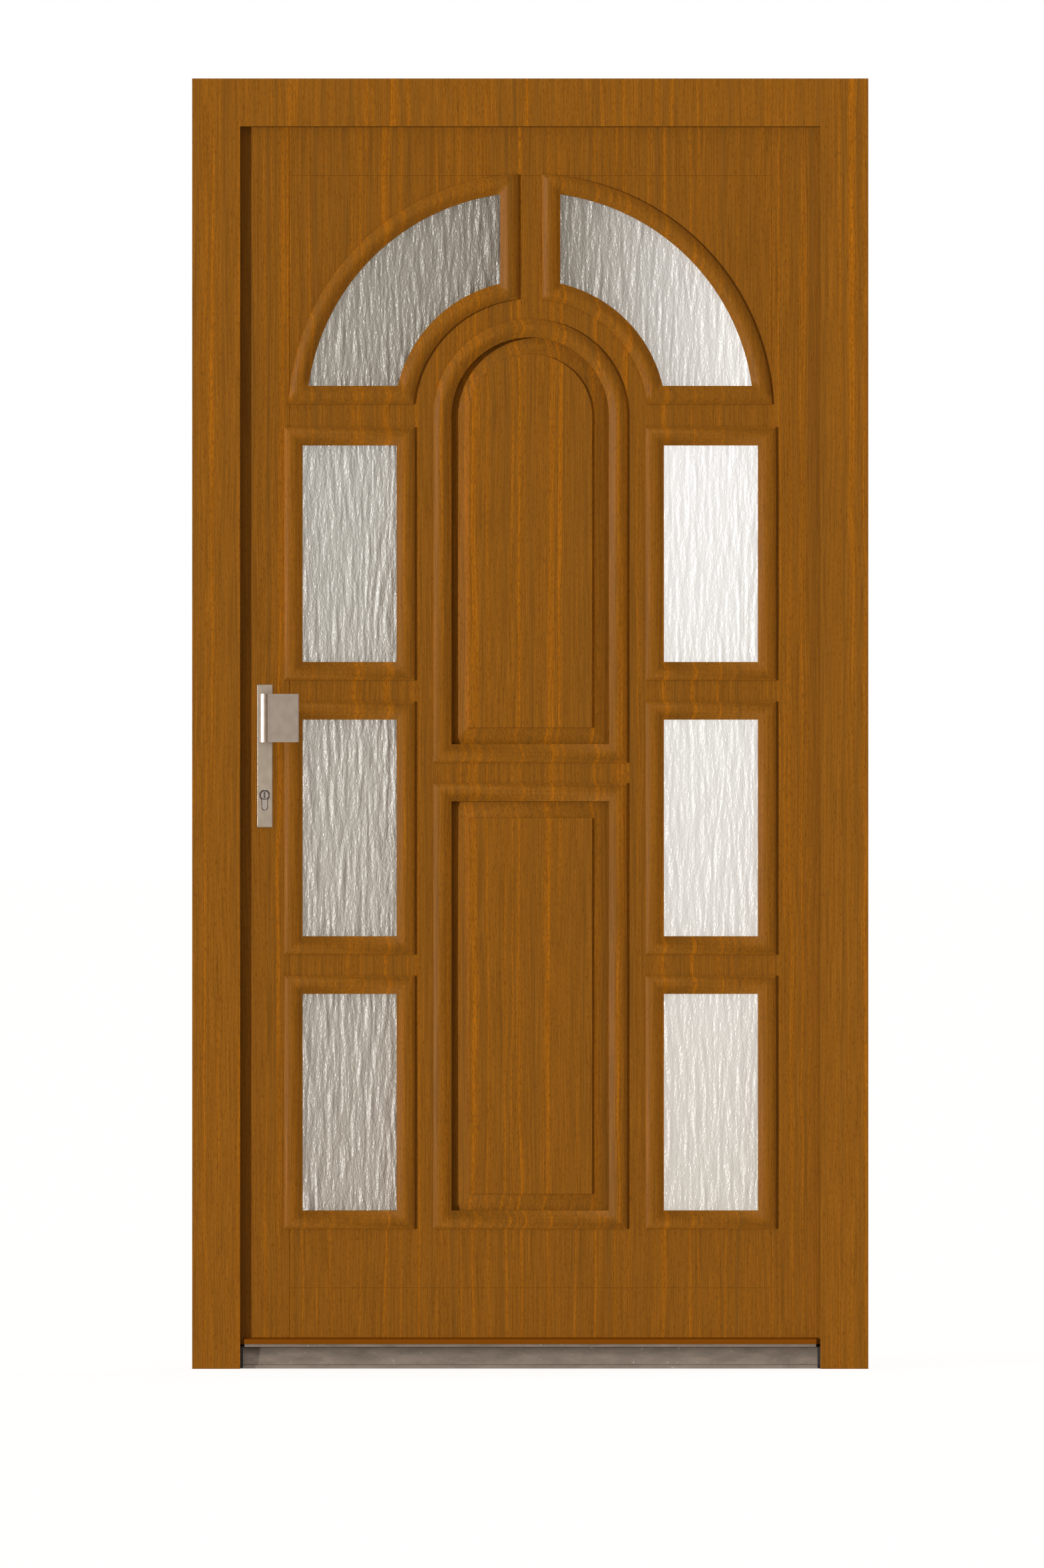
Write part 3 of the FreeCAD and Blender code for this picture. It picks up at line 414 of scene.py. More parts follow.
def ornamental_glass(name, axis, low, high, low_colour, high_colour, low_painted_glow, high_painted_glow):
    """Cast glass pressed between a bark-patterned and a plain roller: it scatters daylight, so it reads
    as a pale grey sheet with bright ridges, and lets only light through, not shapes. Its tone is painted
    light and shade, and a share of it glows as painted daylight; both change along one axis between two
    places."""
    glass = settings("door_glass")
    material, tree, surface, place = new_material(name)
    spot = add_node(tree, "ShaderNodeSeparateXYZ", {0: place}).outputs[axis]
    share = remap(tree, spot, (low, high), (0, 1))
    # painted light: the tone brightens or darkens along the axis for how the pane is lit, and a share of it
    # glows as painted daylight
    painted_light_tone = blend(tree, share, low_colour, high_colour)
    daylight = remap(tree, share, (0, 1), (low_painted_glow, high_painted_glow))
    rest = calculate(tree, "SUBTRACT", 1, daylight)

    # sharp crests that wander upwards, and a fine hammered skin between them
    sway = noise(tree, place, stretch(glass.sway_width, glass.sway_length), detail=1)["Fac"]
    swayed = shift(tree, "ADD", place, combine(tree, X=calculate(tree, "MULTIPLY", sway, glass.sway)))
    crests = noise(tree, swayed, stretch(glass.crest_width, glass.crest_length), detail=0.6,
                   noise_type="RIDGED_MULTIFRACTAL", normalize=False)["Fac"]
    skin = noise(tree, place, stretch(glass.skin_width, glass.skin_length), detail=2)["Fac"]
    hammered = calculate(tree, "MULTIPLY_ADD", skin, 0.4, crests)
    set_inputs(surface, {
        "Base Color": lighten(tree, painted_light_tone, rest),
        "Emission Color": painted_light_tone,
        "Emission Strength": daylight,
        "Normal": bump(tree, hammered, 0.8, glass.crest_height),
        "Roughness": 0.3,
        "IOR": GLASS_IOR,
        "Transmission Weight": 0.15,
    })
    return material


def clear_glass():
    """Plain float glass of the inner sheet, slightly green, with a trace of dust."""
    glass = settings("door_glass")
    material, tree, surface, place = new_material("clear_float_glass")
    dust = noise(tree, place, stretch(glass.dust_width, glass.dust_length), detail=3)["Fac"]
    set_inputs(surface, {
        "Base Color": glass.clear,
        "Roughness": remap(tree, dust, (0, 1), (0, 0.06)),
        "IOR": GLASS_IOR,
        "Transmission Weight": 1,
    })
    return material


def brushed_metal(name, colour, roughness, across, along):
    """Metal brushed lengthwise: fine parallel lines and faint finger marks in the sheen."""
    metal = settings("door_metal")
    material, tree, surface, place = new_material(name)
    lines = noise(tree, place, stretch(across, along), detail=2)["Fac"]
    marks = noise(tree, place, stretch(metal.mark_width, metal.mark_length), detail=3)["Fac"]
    shade = remap(tree, marks, NOISE_SPAN, (0.93, 1.05))
    set_inputs(surface, {
        "Base Color": lighten(tree, colour[:3], shade),
        "Roughness": remap(tree, marks, NOISE_SPAN, (roughness - 0.05, roughness + 0.06)),
        "Normal": bump(tree, lines, 0.05, metal.line_depth),
        "Metallic": 1,
    })
    return material


def weathered_aluminium():
    """A mill-finished extrusion that is walked over: grime in clouds, fine scratches and white specks."""
    metal = settings("door_metal")
    material, tree, surface, place = new_material("weathered_aluminium")
    height = add_node(tree, "ShaderNodeSeparateXYZ", {0: place}).outputs["Z"]

    cloud = stretch(metal.cloud_width, metal.cloud_height, metal.cloud_depth)
    clouds = noise(tree, place, cloud, detail=5, roughness=0.65)["Fac"]
    dirty = calculate(tree, "MULTIPLY_ADD", clouds, 1.3, -0.62)
    # the threshold is made darker towards its top, on top of the clouds of grime
    rise = remap(tree, height, (0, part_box("threshold")[1][2]), (0.1, 0.4))
    grime = calculate(tree, "ADD", dirty, rise, use_clamp=True)
    colour = blend(tree, grime, metal.aluminium, metal.grime)

    specks = noise(tree, place, stretch(metal.speck_width, metal.speck_height), detail=2)["Fac"]
    chalk = remap(tree, specks, (0.68, 0.78), (0, 0.5))
    scratch = stretch(metal.scratch_length, metal.scratch_width, metal.scratch_spacing)
    scratches = noise(tree, place, scratch, detail=2)["Fac"]
    set_inputs(surface, {
        "Base Color": blend(tree, chalk, colour, metal.chalk),
        "Roughness": remap(tree, grime, (0, 1), (0.4, 0.62)),
        "Normal": bump(tree, scratches, 0.3, metal.scratch_depth),
        "Metallic": 0.7,
    })
    return material


def plain_coat(name, colour, roughness, specular, grain_size):
    """Paint, rubber or moulded plastic: one colour, with a faint orange peel or moulded grain."""
    material, tree, surface, place = new_material(name)
    peel = noise(tree, place, stretch(grain_size, grain_size), detail=2)["Fac"]
    shade = remap(tree, peel, NOISE_SPAN, (0.96, 1.04))
    set_inputs(surface, {
        "Base Color": lighten(tree, colour[:3], shade),
        "Normal": bump(tree, peel, 0.2, settings("door_trim").peel_depth),
        "Roughness": roughness,
        "Specular IOR Level": specular,
    })
    return material


# Modelling


def deselect():
    if bpy.context.mode != "OBJECT":
        bpy.ops.object.mode_set(mode="OBJECT")
    bpy.ops.object.select_all(action="DESELECT")


def pick_only(piece):
    deselect()
    piece.select_set(True)
    bpy.context.view_layer.objects.active = piece


def keep_place(piece):
    """Put the piece's place, turn and size in its mesh."""
    pick_only(piece)
    bpy.ops.object.transform_apply(location=True, rotation=True, scale=True)


def give(piece, material, body, name=None):
    """Name a piece, cover it with a material and hand it to the body that carries it."""
    if name:
        piece.name = name
        piece.data.name = name
    piece.data.materials.clear()
    piece.data.materials.append(material)
    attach(piece, body)
    return piece


def cover(node, material):
    """Give a part of the frame a better material in its own slots."""
    for slot in nodes[node].material_slots:
        slot.material = material


def join(pieces):
    """One mesh from several loose ones."""
    pick_only(pieces[0])
    for piece in pieces[1:]:
        piece.select_set(True)
    bpy.ops.object.join()
    return bpy.context.view_layer.objects.active


def block(low, high):
    """A plain block between two corners."""
    deselect()
    bpy.ops.mesh.primitive_cube_add(size=1)
    piece = bpy.context.view_layer.objects.active
    piece.scale = high - low
    piece.location = (low + high) / 2
    keep_place(piece)
    return piece


def edit_face(piece, face):
    """Open the active piece for editing with one face picked, which is given by its number."""
    bpy.ops.object.mode_set(mode="EDIT")
    bpy.ops.mesh.select_mode(type="FACE")
    bpy.ops.mesh.select_all(action="DESELECT")
    bpy.ops.object.mode_set(mode="OBJECT")
    piece.data.polygons[face].select = True
    bpy.ops.object.mode_set(mode="EDIT")


def mark_arris(piece, depth, worn):
    """Keep the edges that run along this depth crisp when the piece is smoothed, and sand them back."""
    pick_only(piece)
    bpy.ops.object.mode_set(mode="EDIT")
    bpy.ops.mesh.select_mode(type="EDGE")
    bpy.ops.mesh.select_all(action="DESELECT")
    bpy.ops.object.mode_set(mode="OBJECT")
    points = piece.data.vertices
    for edge in piece.data.edges:
        edge.select = all(abs(points[end].co.y - depth) < AT_DEPTH for end in edge.vertices)
    bpy.ops.object.mode_set(mode="EDIT")
    bpy.ops.mesh.mark_sharp()
    bpy.ops.transform.translate(value=(0, worn, 0))
    bpy.ops.object.mode_set(mode="OBJECT")


def finished_copy(node, body, material, edge, smooth=SHARP_ANGLE, rim=None, arris=None):
    """A copy of a part with its sharp edges rounded and its curves smooth, which stands for that part.
    Faces that meet under the smooth angle, in degrees, flow into each other, but at the arris' depth
    they don't. A rim material covers the rounded edges alone."""
    deselect()
    source = nodes[node]
    source.select_set(True)
    bpy.context.view_layer.objects.active = source
    bpy.ops.object.duplicate()
    piece = bpy.context.view_layer.objects.active
    bpy.ops.object.parent_clear(type="CLEAR_KEEP_TRANSFORM")
    keep_place(piece)
    bpy.ops.object.mode_set(mode="EDIT")
    bpy.ops.mesh.select_all(action="SELECT")
    bpy.ops.mesh.remove_doubles(threshold=WELD)
    bpy.ops.mesh.dissolve_limited(angle_limit=math.radians(FLAT_ANGLE))
    bpy.ops.object.mode_set(mode="OBJECT")
    give(piece, material, body, f"{node}_finished")
    if rim:
        piece.data.materials.append(rim)
    if edge:
        rounding = piece.modifiers.new("rounded_edges", "BEVEL")
        rounding.width = edge
        rounding.segments = 2
        rounding.limit_method = "ANGLE"
        rounding.angle_limit = math.radians(SHARP_ANGLE)
        rounding.material = 1 if rim else -1
        bpy.ops.object.modifier_apply(modifier=rounding.name)
    if arris is not None:
        mark_arris(piece, arris, settings("door_oak").arris_worn)
    bpy.ops.object.shade_smooth_by_angle(angle=math.radians(smooth))
    evening = piece.modifiers.new("even_faces", "WEIGHTED_NORMAL")
    evening.keep_sharp = True
    bpy.ops.object.modifier_apply(modifier=evening.name)
    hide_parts(node)
    return piece


FRAME_TIMBERS = ("frame_head", "frame_jamb_lock", "frame_jamb_hinge")
LEAF_TIMBERS = ("leaf_stile_lock", "leaf_stile_hinge", "leaf_rail_top", "leaf_rail_bottom", "infill_panel")
CENTRE_PANELS = ("centre_panel_lower", "centre_panel_upper")
MOULDINGS = [f"moulding_{side}_{row}" for side in ("left", "right") for row in (1, 2, 3)]
MOULDINGS += ["moulding_arches", "moulding_centre_panels", "inside_window_mouldings",
              "inside_panel_mouldings"]


class DOOR_OT_timber(bpy.types.Operator):
    """Give every timber its oak finish, smooth the mouldings and sand the edges of the raised panels"""
    bl_idname = "door.timber"
    bl_label = "Timber"

    def execute(self, context):
        oak = settings("door_oak")
        on_mouldings = stained_oak("stained_oak_with_painted_shade_mouldings", oak.painted_shade_depth)
        on_panels = stained_oak("stained_oak_with_painted_shade_centre_panels", oak.painted_shade_depth * PANEL_PAINTED_SHADE)
        on_boards = stained_oak("stained_oak_leaf_boards", 0, fade=0.98)
        on_frame = stained_oak("stained_oak_frame", 0, fade=1.06)
        for node in FRAME_TIMBERS:
            cover(node, on_frame)
        for node in LEAF_TIMBERS:
            cover(node, on_boards)
        for node in CENTRE_PANELS:
            finished_copy(node, "leaf", on_panels, oak.edge_round, smooth=PANEL_SMOOTH_ANGLE)
        for node in MOULDINGS:
            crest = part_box(node)[0][1]
            finished_copy(node, "leaf", on_mouldings, 0, arris=crest + oak.arris_drop)
        return {"FINISHED"}


# Glass


def press_relief(sheet):
    """Press the bark pattern into a flat sheet: upright ridges and short nicks between them."""
    glass = settings("door_glass")
    layers = (
        ("ridges", 1, glass.ridge_width, glass.ridge_length, glass.ridge_height),
        ("nicks", 0, glass.nick_width, glass.nick_length, glass.nick_height),
    )
    for name, depth, across, along, height in layers:
        texture = bpy.data.textures.new(name, "CLOUDS")
        texture.noise_scale = 1
        texture.noise_depth = depth
        texture.noise_basis = "ORIGINAL_PERLIN"
        deselect()
        bpy.ops.object.empty_add(location=(0, 0, 0))
        ruler = bpy.context.view_layer.objects.active
        ruler.scale = (across, across, along)
        bpy.context.view_layer.update()
        press = sheet.modifiers.new(name, "DISPLACE")
        press.texture = texture
        press.texture_coords = "OBJECT"
        press.texture_coords_object = ruler
        press.direction = "Y"
        press.mid_level = 0.5
        press.strength = height
        pick_only(sheet)
        bpy.ops.object.modifier_apply(modifier=press.name)
        bpy.data.objects.remove(ruler)


def close_sheet(sheet, back):
    """Give a sheet its edges and its plain back."""
    pick_only(sheet)
    bpy.ops.object.mode_set(mode="EDIT")
    bpy.ops.mesh.select_mode(type="EDGE")
    bpy.ops.mesh.select_all(action="DESELECT")
    bpy.ops.mesh.select_non_manifold(extend=False, use_wire=False, use_boundary=True,
                                     use_multi_face=False, use_non_contiguous=False, use_verts=False)
    sheet_move = {"value": (0, settings("door_glass").sheet, 0)}
    bpy.ops.mesh.extrude_edges_move(TRANSFORM_OT_translate=sheet_move)
    bpy.ops.transform.resize(value=(1, 0, 1), center_override=(0, back, 0), orient_type="GLOBAL")
    bpy.ops.mesh.edge_face_add()
    bpy.ops.mesh.select_all(action="SELECT")
    bpy.ops.mesh.normals_make_consistent(inside=False)
    bpy.ops.object.mode_set(mode="OBJECT")
    bpy.ops.object.shade_smooth_by_angle(angle=math.radians(SHEET_SMOOTH_ANGLE))


def flat_pane(low, high):
    """A flat upright grid over one rectangular pane."""
    glass = settings("door_glass")
    size = high - low
    deselect()
    bpy.ops.mesh.primitive_grid_add(
        x_subdivisions=round(size.x / glass.cell_across), y_subdivisions=round(size.z / glass.cell_along),
        size=1, location=((low.x + high.x) / 2, low.y, (low.z + high.z) / 2),
        rotation=(UPRIGHT, 0, 0))
    sheet = bpy.context.view_layer.objects.active
    sheet.scale = (size.x, size.z, 1)
    keep_place(sheet)
    return sheet


def arched_pane(side, low, high, cell):
    """A quarter ring of cells, spun round the arch's centre and cut to its upright and level edge."""
    ring_width = settings("door_glass").ring_width
    edge = min(abs(low.x), abs(high.x))
    centre = Vector((0, low.y, low.z - edge))
    outer = math.hypot(max(abs(low.x), abs(high.x)), edge)
    deselect()
    bpy.ops.mesh.primitive_grid_add(x_subdivisions=round(ring_width / cell), y_subdivisions=1, size=1)
    sheet = bpy.context.view_layer.objects.active
    # the row is pressed flat and its two sides are merged, so that a line of edges is spun
    flat, reach = 0.0001, 0.001
    sheet.scale = (ring_width, flat, 1)
    sheet.location = centre + Vector((outer - ring_width / 2, 0, 0))
    keep_place(sheet)
    bpy.ops.object.mode_set(mode="EDIT")
    bpy.ops.mesh.select_mode(type="VERT")
    bpy.ops.mesh.select_all(action="SELECT")
    bpy.ops.mesh.remove_doubles(threshold=reach)
    quarter = math.pi / 2
    steps = round(quarter * outer / (cell * ARCH_CELLS))
    bpy.ops.mesh.spin(steps=steps, angle=quarter, center=centre, axis=(0, 1, 0))
    bpy.ops.mesh.select_all(action="SELECT")
    bpy.ops.mesh.remove_doubles(threshold=SEAM)
    for normal in (Vector((1, 0, 0)), Vector((0, 0, 1))):
        bpy.ops.mesh.select_all(action="SELECT")
        bpy.ops.mesh.bisect(plane_co=centre + normal * edge, plane_no=normal, clear_inner=True)
    bpy.ops.object.mode_set(mode="OBJECT")
    if side < 0:
        sheet.scale.x = -1
        keep_place(sheet)
    return sheet


def back_pane(low, high):
    """The clear inner sheet of one rectangular pane with its arrised edges."""
    glass = settings("door_glass")
    sheet = block(Vector((low.x, high.y - glass.sheet, low.z)), high)
    bpy.ops.object.mode_set(mode="EDIT")
    bpy.ops.mesh.select_all(action="SELECT")
    bpy.ops.mesh.bevel(offset=glass.sheet_arris, segments=1)
    bpy.ops.object.mode_set(mode="OBJECT")
    return sheet


def pane_boxes(side_name):
    """The low and high corner of each rectangular pane, from the moulding round it."""
    lap = settings("door_glass").moulding_lap
    front, back = (corner[1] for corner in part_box(f"glass_column_{side_name}"))
    boxes = []
    for row in (1, 2, 3):
        low, high = (Vector(corner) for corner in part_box(f"moulding_{side_name}_{row}"))
        boxes.append((Vector((low.x + lap, front, low.z + lap)), Vector((high.x - lap, back, high.z - lap))))
    return boxes


def glaze(sheet, node, look):
    """Let a pressed sheet with its look stand for a window's plain glass."""
    give(sheet, ornamental_glass(f"{node}_relief", *look), "leaf", f"{node}_relief")
    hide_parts(node)


class DOOR_OT_glass(bpy.types.Operator):
    """Glaze the eight windows with pressed ornamental glass outside and a clear sheet inside"""
    bl_idname = "door.glass"
    bl_label = "Glass"

    def execute(self, context):
        glass = settings("door_glass")
        clear = clear_glass()
        dim, bright = glass.dim_painted_glow, glass.bright_painted_glow
        low_z, high_z = (corner[2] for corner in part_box("glass_column_left"))
        near_x, far_x = (corner[0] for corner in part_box("glass_arch_right"))
        # painted light: each window's tone and glow change across it for how it is lit
        looks = {
            "glass_column_left": ("Z", low_z, high_z, glass.grey_low, glass.grey, dim, dim),
            "glass_column_right": ("Z", low_z, high_z, glass.bright_low, glass.bright, bright, bright),
            "glass_arch_left": ("X", -far_x, -near_x, glass.arch_left, glass.arch_top, dim, dim),
            "glass_arch_right": ("X", near_x, far_x, glass.arch_top, glass.arch_right, dim, bright),
        }
        press = Vector((0, glass.press_depth, 0))
        for side, side_name in ((-1, "left"), (1, "right")):
            node = f"glass_column_{side_name}"
            sheets, backs = [], []
            for low, high in pane_boxes(side_name):
                sheets.append(flat_pane(low + press, high))
                press_relief(sheets[-1])
                close_sheet(sheets[-1], low.y + glass.press_depth + glass.sheet)
                backs.append(back_pane(low, high))
            glaze(join(sheets), node, looks[node])

            node = f"glass_arch_{side_name}"
            low, high = (Vector(corner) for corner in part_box(node))
            sheet = arched_pane(side, low + press, high, glass.cell_across)
            press_relief(sheet)
            close_sheet(sheet, low.y + glass.press_depth + glass.sheet)
            glaze(sheet, node, looks[node])
            low.y = high.y - glass.sheet
            backs.append(arched_pane(side, low, high, glass.cell_across * PLAIN_CELLS))
            close_sheet(backs[-1], high.y)
            give(join(backs), clear, "leaf", f"glass_{side_name}_inner_sheets")
        return {"FINISHED"}


# Fittings


def screw_heads(name, spots, towards, material, body):
    """Countersunk screws with a round recess. Each spot is the middle of a head's seat, and the
    heads look along one axis, given as a unit vector."""
    metal = settings("door_metal")
    chamfer, rim, sunk = metal.screw_rise * 0.4, metal.screw_radius * 0.5, metal.screw_rise * 0.7
    deselect()
    bpy.ops.mesh.primitive_cylinder_add(vertices=24, radius=metal.screw_radius, depth=metal.screw_rise)
    head = bpy.context.view_layer.objects.active
    bpy.ops.object.mode_set(mode="EDIT")
    bpy.ops.mesh.select_all(action="SELECT")
    bpy.ops.mesh.bevel(offset=chamfer, segments=1)
    bpy.ops.object.mode_set(mode="OBJECT")
    edit_face(head, max(head.data.polygons, key=lambda face: face.center.z).index)
    bpy.ops.mesh.inset(thickness=rim)
    bpy.ops.mesh.extrude_region_move(TRANSFORM_OT_translate={"value": (0, 0, -sunk)})
    bpy.ops.object.mode_set(mode="OBJECT")
    bpy.ops.object.shade_smooth_by_angle(angle=math.radians(SCREW_SMOOTH_ANGLE))
    turn = Vector((0, 0, 1)).rotation_difference(Vector(towards)).to_euler()
    heads = []
    for spot in spots:
        pick_only(head)
        bpy.ops.object.duplicate()
        copy = bpy.context.view_layer.objects.active
        copy.rotation_euler = turn
        copy.location = Vector(spot) + Vector(towards) * metal.screw_rise / 2
        keep_place(copy)
        heads.append(copy)
    bpy.data.objects.remove(head)
    return give(join(heads), material, body, name)


def screw_spots(node):
    """The middles of the screws' seats on a part."""
    low = Vector(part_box(node)[0])
    kind = node.rsplit("_", 1)[0] if node.startswith("hinge") else node
    return [low + Vector(offset) * MM for offset in SCREW_SPOTS[kind]]


def wiper_lip(material):
    """The wiper strip under the drip bar, thinner downwards, that ends just over the threshold."""
    trim = settings("door_trim")
    low, high = (Vector(corner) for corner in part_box("drip_bar"))
    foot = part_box("threshold")[1][2] + trim.lip_gap
    face = low.y + trim.lip_inset
    lip = block(Vector((low.x + trim.lip_inset, face, foot)),
                Vector((high.x - trim.lip_inset, face + trim.lip_thickness, low.z + trim.lip_inset)))
    edit_face(lip, min(lip.data.polygons, key=lambda side: side.center.z).index)
    bpy.ops.transform.resize(value=(1, LIP_TAPER, 1), center_override=(0, face, foot))
    bpy.ops.mesh.bevel(offset=trim.lip_edge, segments=2)
    bpy.ops.object.mode_set(mode="OBJECT")
    return give(lip, material, "leaf", "drip_bar_lip")


# how far the edges are rounded, in millimetres
EDGES = {
    "inside_plate": 0.35, "inside_lever": 0.6, "lock_faceplate": 0.3, "escutcheon_outside": 0.2,
    "outside_knob": 0.8, "strike_plate": 0.3, "threshold": 0.5, "drip_bar": 0.6, "hinge": 0.4,
}
# the middle of each screw's seat, in millimetres from the low corner of the part's box
SCREW_SPOTS = {
    "inside_plate": ((13, 8, 14), (13, 8, 219)),
    "lock_faceplate": ((0, 10, 9), (0, 10, 231)),
    "strike_plate": ((3, 10, 9), (3, 10, 141)),
    "hinge_leaf": ((14, 4, 14), (14, 4, 45), (36, 4, 29.5)),
    "hinge_frame": ((33, 4, 14), (33, 4, 45)),
}


class DOOR_OT_fittings(bpy.types.Operator):
    """Finish the lock furniture, the hinges, the threshold, the drip bar and the seals, and add screws"""
    bl_idname = "door.fittings"
    bl_label = "Fittings"

    def execute(self, context):
        metal = settings("door_metal")
        trim = settings("door_trim")
        stainless = brushed_metal("brushed_stainless_steel", metal.stainless, roughness=0.36,
                                  across=0.5 * MM, along=40 * MM)
        satin = brushed_metal("satin_stainless_steel", metal.knob, roughness=0.32,
                              across=0.8 * MM, along=12 * MM)
        nickel = brushed_metal("satin_nickel", metal.nickel, roughness=0.3,
                               across=0.5 * MM, along=0.8 * MM)
        # painted shade of the gap round the lock cylinder, laid on its rounded edge
        gap_shade_rim = brushed_metal("nickel_painted_gap_shade", metal.painted_gap_shade, roughness=0.5,
                                across=0.5 * MM, along=0.8 * MM)
        steel = brushed_metal("satin_plated_steel", metal.steel, roughness=0.35,
                              across=0.6 * MM, along=1 * MM)
        aluminium = weathered_aluminium()
        paint = plain_coat("brown_drip_bar_paint", trim.drip_paint, roughness=0.5,
                           specular=0.06, grain_size=2.5 * MM)
        plastic = plain_coat("black_moulded_plastic", trim.plastic, roughness=0.45,
                             specular=0.4, grain_size=0.8 * MM)
        rubber = plain_coat("brown_seal_rubber", trim.rubber, roughness=0.6,
                            specular=0.3, grain_size=1.2 * MM)
        for node in ("inside_plate", "inside_lever", "lock_faceplate"):
            finished_copy(node, "leaf", stainless, EDGES[node] * MM)
        outside = [
            finished_copy("escutcheon_outside", "leaf", stainless,
                          EDGES["escutcheon_outside"] * MM),
            finished_copy("outside_knob", "leaf", satin, EDGES["outside_knob"] * MM),
            finished_copy("lock_cylinder", "leaf", nickel, metal.gap_shade_width, rim=gap_shade_rim),
            finished_copy("cylinder_plug", "key_plug", nickel, metal.gap_shade_width / 2, rim=gap_shade_rim),
        ]
        for piece in outside:
            piece.visible_shadow = False
        finished_copy("strike_plate", "frame", stainless, EDGES["strike_plate"] * MM)
        finished_copy("threshold", "frame", aluminium, EDGES["threshold"] * MM)
        finished_copy("drip_bar", "leaf", paint, EDGES["drip_bar"] * MM)
        wiper_lip(aluminium)
        hinges = [(body, f"hinge_{body}_{level}") for level in ("low", "middle", "high")
                  for body in ("frame", "leaf")]
        for body, node in hinges:
            finished_copy(node, body, steel, EDGES["hinge"] * MM)
        cover("threshold_end_caps", plastic)
        for node in ("frame_seal", "leaf_seal", "leaf_bottom_seal"):
            cover(node, rubber)
        screw_heads("inside_plate_screws", screw_spots("inside_plate"), (0, 1, 0), stainless, "leaf")
        screw_heads("faceplate_screws", screw_spots("lock_faceplate"), (-1, 0, 0), stainless, "leaf")
        screw_heads("strike_plate_screws", screw_spots("strike_plate"), (1, 0, 0), stainless, "frame")
        for body in ("leaf", "frame"):
            spots = [spot for carrier, node in hinges if carrier == body for spot in screw_spots(node)]
            screw_heads(f"hinge_{body}_screws", spots, (0, 1, 0), steel, body)
        return {"FINISHED"}


class DOOR_OT_stage(bpy.types.Operator):
    """Set the floor, the light from the left, the even fill and the camera"""
    bl_idname = "door.stage"
    bl_label = "Stage"

    def execute(self, context):
        stage = settings("door_stage")
        deselect()
        bpy.ops.mesh.primitive_plane_add(size=FLOOR_SIZE, location=(0, 0, -FLOOR_DROP))
        floor = context.view_layer.objects.active
        floor.name = "floor"
        keep_place(floor)
        floor.data.materials.append(pale_floor(stage.floor_glow))
        context.scene.world = sky(stage.fill, stage.fill_colour)

        pressed = [piece for piece in context.scene.objects if piece.name.endswith("_relief")]
        key = sun("key_light", stage.key, stage.key_angle)
        share_light(key, pressed, "EXCLUDE")
        sun("inside_light", stage.inside, math.pi + stage.key_angle)
        graze = sun("glass_light", stage.graze, stage.graze_angle)
        graze.data.use_shadow = False
        share_light(graze, pressed, "INCLUDE")

        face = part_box("frame_jamb_lock")[0][1]
        bpy.ops.object.camera_add(location=(stage.camera_x, -stage.camera_distance, stage.camera_z),
                                  rotation=(UPRIGHT, 0, 0))
        camera = context.view_layer.objects.active
        camera.name = "front_camera"
        camera.data.sensor_fit = "VERTICAL"
        camera.data.sensor_height = SENSOR_HEIGHT
        camera.data.lens = SENSOR_HEIGHT * (stage.camera_distance + face) / stage.picture_height
        camera.data.clip_end = VIEW_END
        context.scene.camera = camera
        context.scene.view_settings.view_transform = "Standard"
        return {"FINISHED"}


def sun(name, strength, angle):
    """A sun that stands in front of the door, turned to the left by an angle."""
    stage = settings("door_stage")
    deselect()
    bpy.ops.object.light_add(type="SUN", location=SUN_PLACE,
                             rotation=(UPRIGHT - stage.key_rise, 0, -angle))
    light = bpy.context.view_layer.objects.active
    light.name = name
    light.data.energy = strength
    light.data.angle = stage.key_softness
    return light


def share_light(light, pieces, state):
    """Let a light shine on these pieces alone, or on all but them."""
    pick_only(light)
    for piece in pieces:
        piece.select_set(True)
    bpy.ops.object.light_linking_receivers_link(link_state=state)


def seen_white(tree):
    """1 for rays from the camera and in reflections and glass, and 0 for light on the object."""
    path = add_node(tree, "ShaderNodeLightPath").outputs
    seen = calculate(tree, "MAXIMUM", path["Is Camera Ray"], path["Is Glossy Ray"])
    return calculate(tree, "MAXIMUM", seen, path["Is Transmission Ray"])


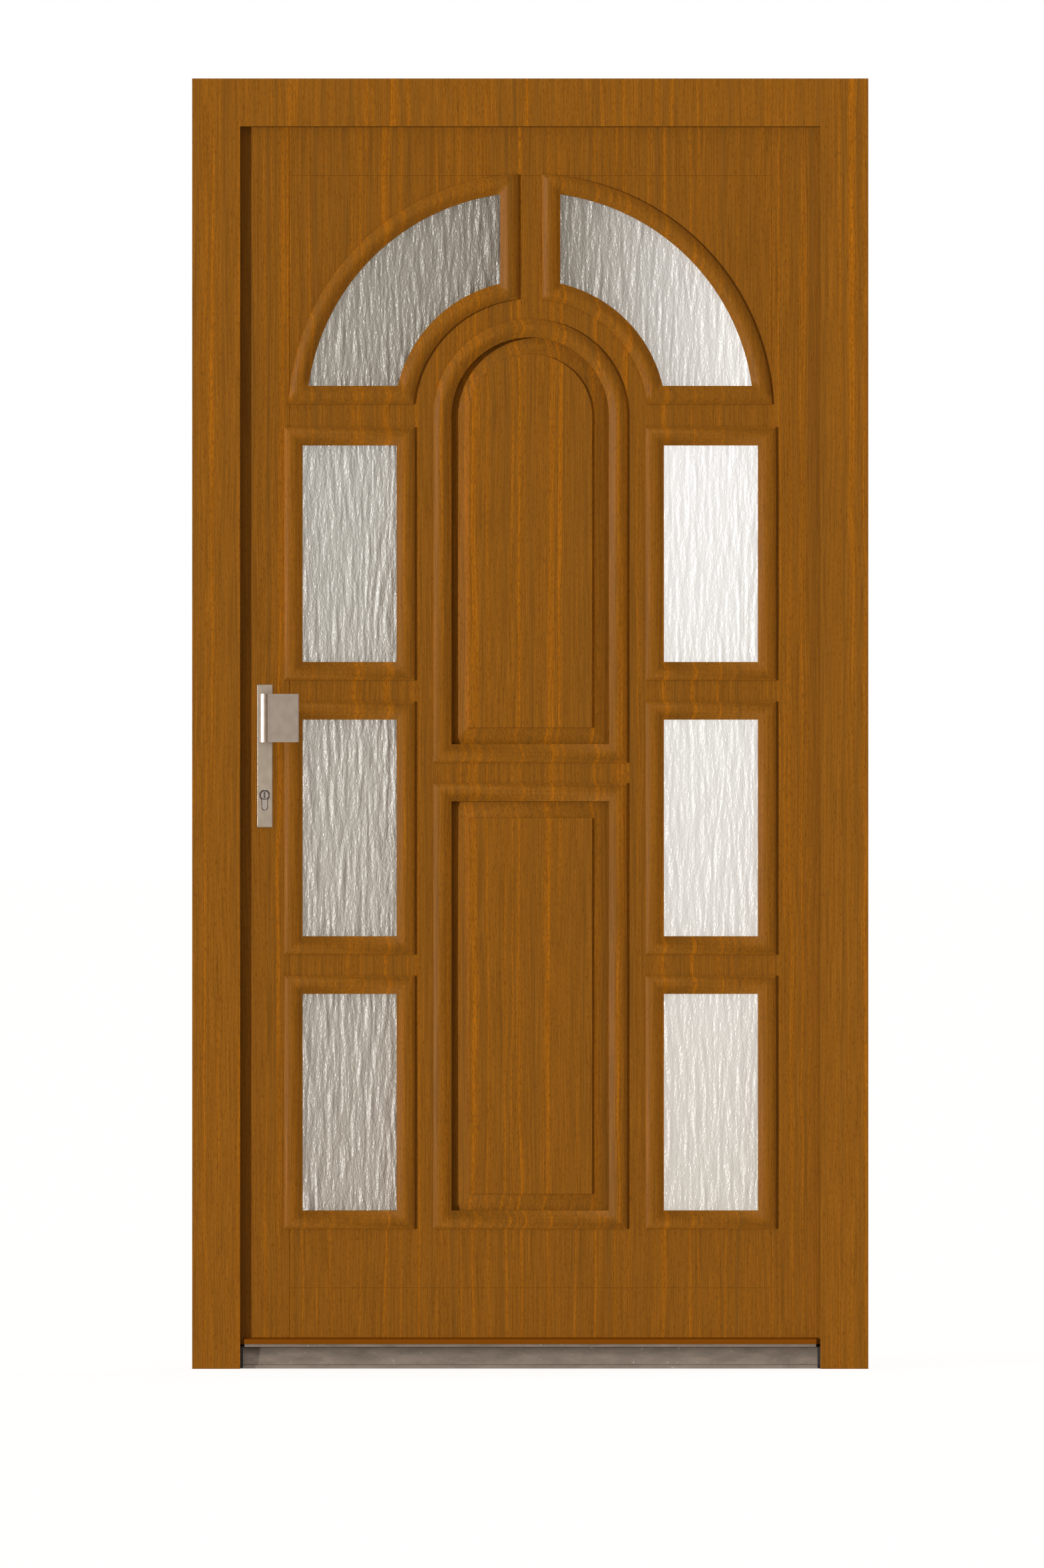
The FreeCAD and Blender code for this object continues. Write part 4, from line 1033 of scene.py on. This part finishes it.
def pale_floor(glow):
    """White studio floor: its own light makes it show white where it is open, and where the door keeps
    the fill light off it shows a soft grey shadow. To the door it is a pale matt floor."""
    material = bpy.data.materials.new("white_studio_floor")
    material.use_nodes = True
    tree = material.node_tree
    tree.nodes.clear()
    seen = seen_white(tree)
    matt = add_node(tree, "ShaderNodeBsdfDiffuse", {"Color": remap(tree, seen, (0, 1), FLOOR_TONES)})
    light = calculate(tree, "MULTIPLY", seen, glow)
    own = add_node(tree, "ShaderNodeEmission", {"Color": WHITE, "Strength": light})
    both = add_node(tree, "ShaderNodeAddShader", {0: matt.outputs[0], 1: own.outputs[0]})
    add_node(tree, "ShaderNodeOutputMaterial", {"Surface": both.outputs[0]})
    return material


def sky(fill, colour):
    """An even surround: it shows white and lights the door a little warm at the fill's strength."""
    world = bpy.data.worlds.new("white_surround")
    world.use_nodes = True
    tree = world.node_tree
    tree.nodes.clear()
    seen = seen_white(tree)
    strength = remap(tree, seen, (0, 1), (fill, 1))
    light = add_node(tree, "ShaderNodeBackground",
                     {"Color": blend(tree, seen, colour, WHITE), "Strength": strength})
    add_node(tree, "ShaderNodeOutputWorld", {"Surface": light.outputs[0]})
    return world


class DOOR_PT_sidebar(bpy.types.Panel):
    """Sizes, colours and steps of the door"""
    bl_idname = "DOOR_PT_sidebar"
    bl_label = "Entrance door"
    bl_space_type = "VIEW_3D"
    bl_region_type = "UI"
    bl_category = "Door"

    def draw(self, context):
        for group, _ in GROUPS:
            box = self.layout.box()
            values = getattr(context.scene, group)
            for name in values.__annotations__:
                box.prop(values, name)
        for step in STEPS:
            self.layout.operator(step.bl_idname)


GROUPS = (
    ("door_oak", OakSettings),
    ("door_glass", GlassSettings),
    ("door_metal", MetalSettings),
    ("door_trim", TrimSettings),
    ("door_stage", StageSettings),
)
STEPS = (DOOR_OT_timber, DOOR_OT_glass, DOOR_OT_fittings, DOOR_OT_stage)


def register():
    for name, group in GROUPS:
        bpy.utils.register_class(group)
        setattr(bpy.types.Scene, name, PointerProperty(type=group))
    for step in STEPS:
        bpy.utils.register_class(step)
    bpy.utils.register_class(DOOR_PT_sidebar)


def unregister():
    bpy.utils.unregister_class(DOOR_PT_sidebar)
    for step in reversed(STEPS):
        bpy.utils.unregister_class(step)
    for name, group in reversed(GROUPS):
        delattr(bpy.types.Scene, name)
        bpy.utils.unregister_class(group)


def main():
    register()
    bpy.ops.door.timber()
    bpy.ops.door.glass()
    bpy.ops.door.fittings()
    bpy.ops.door.stage()


if __name__ == "__main__":
    main()
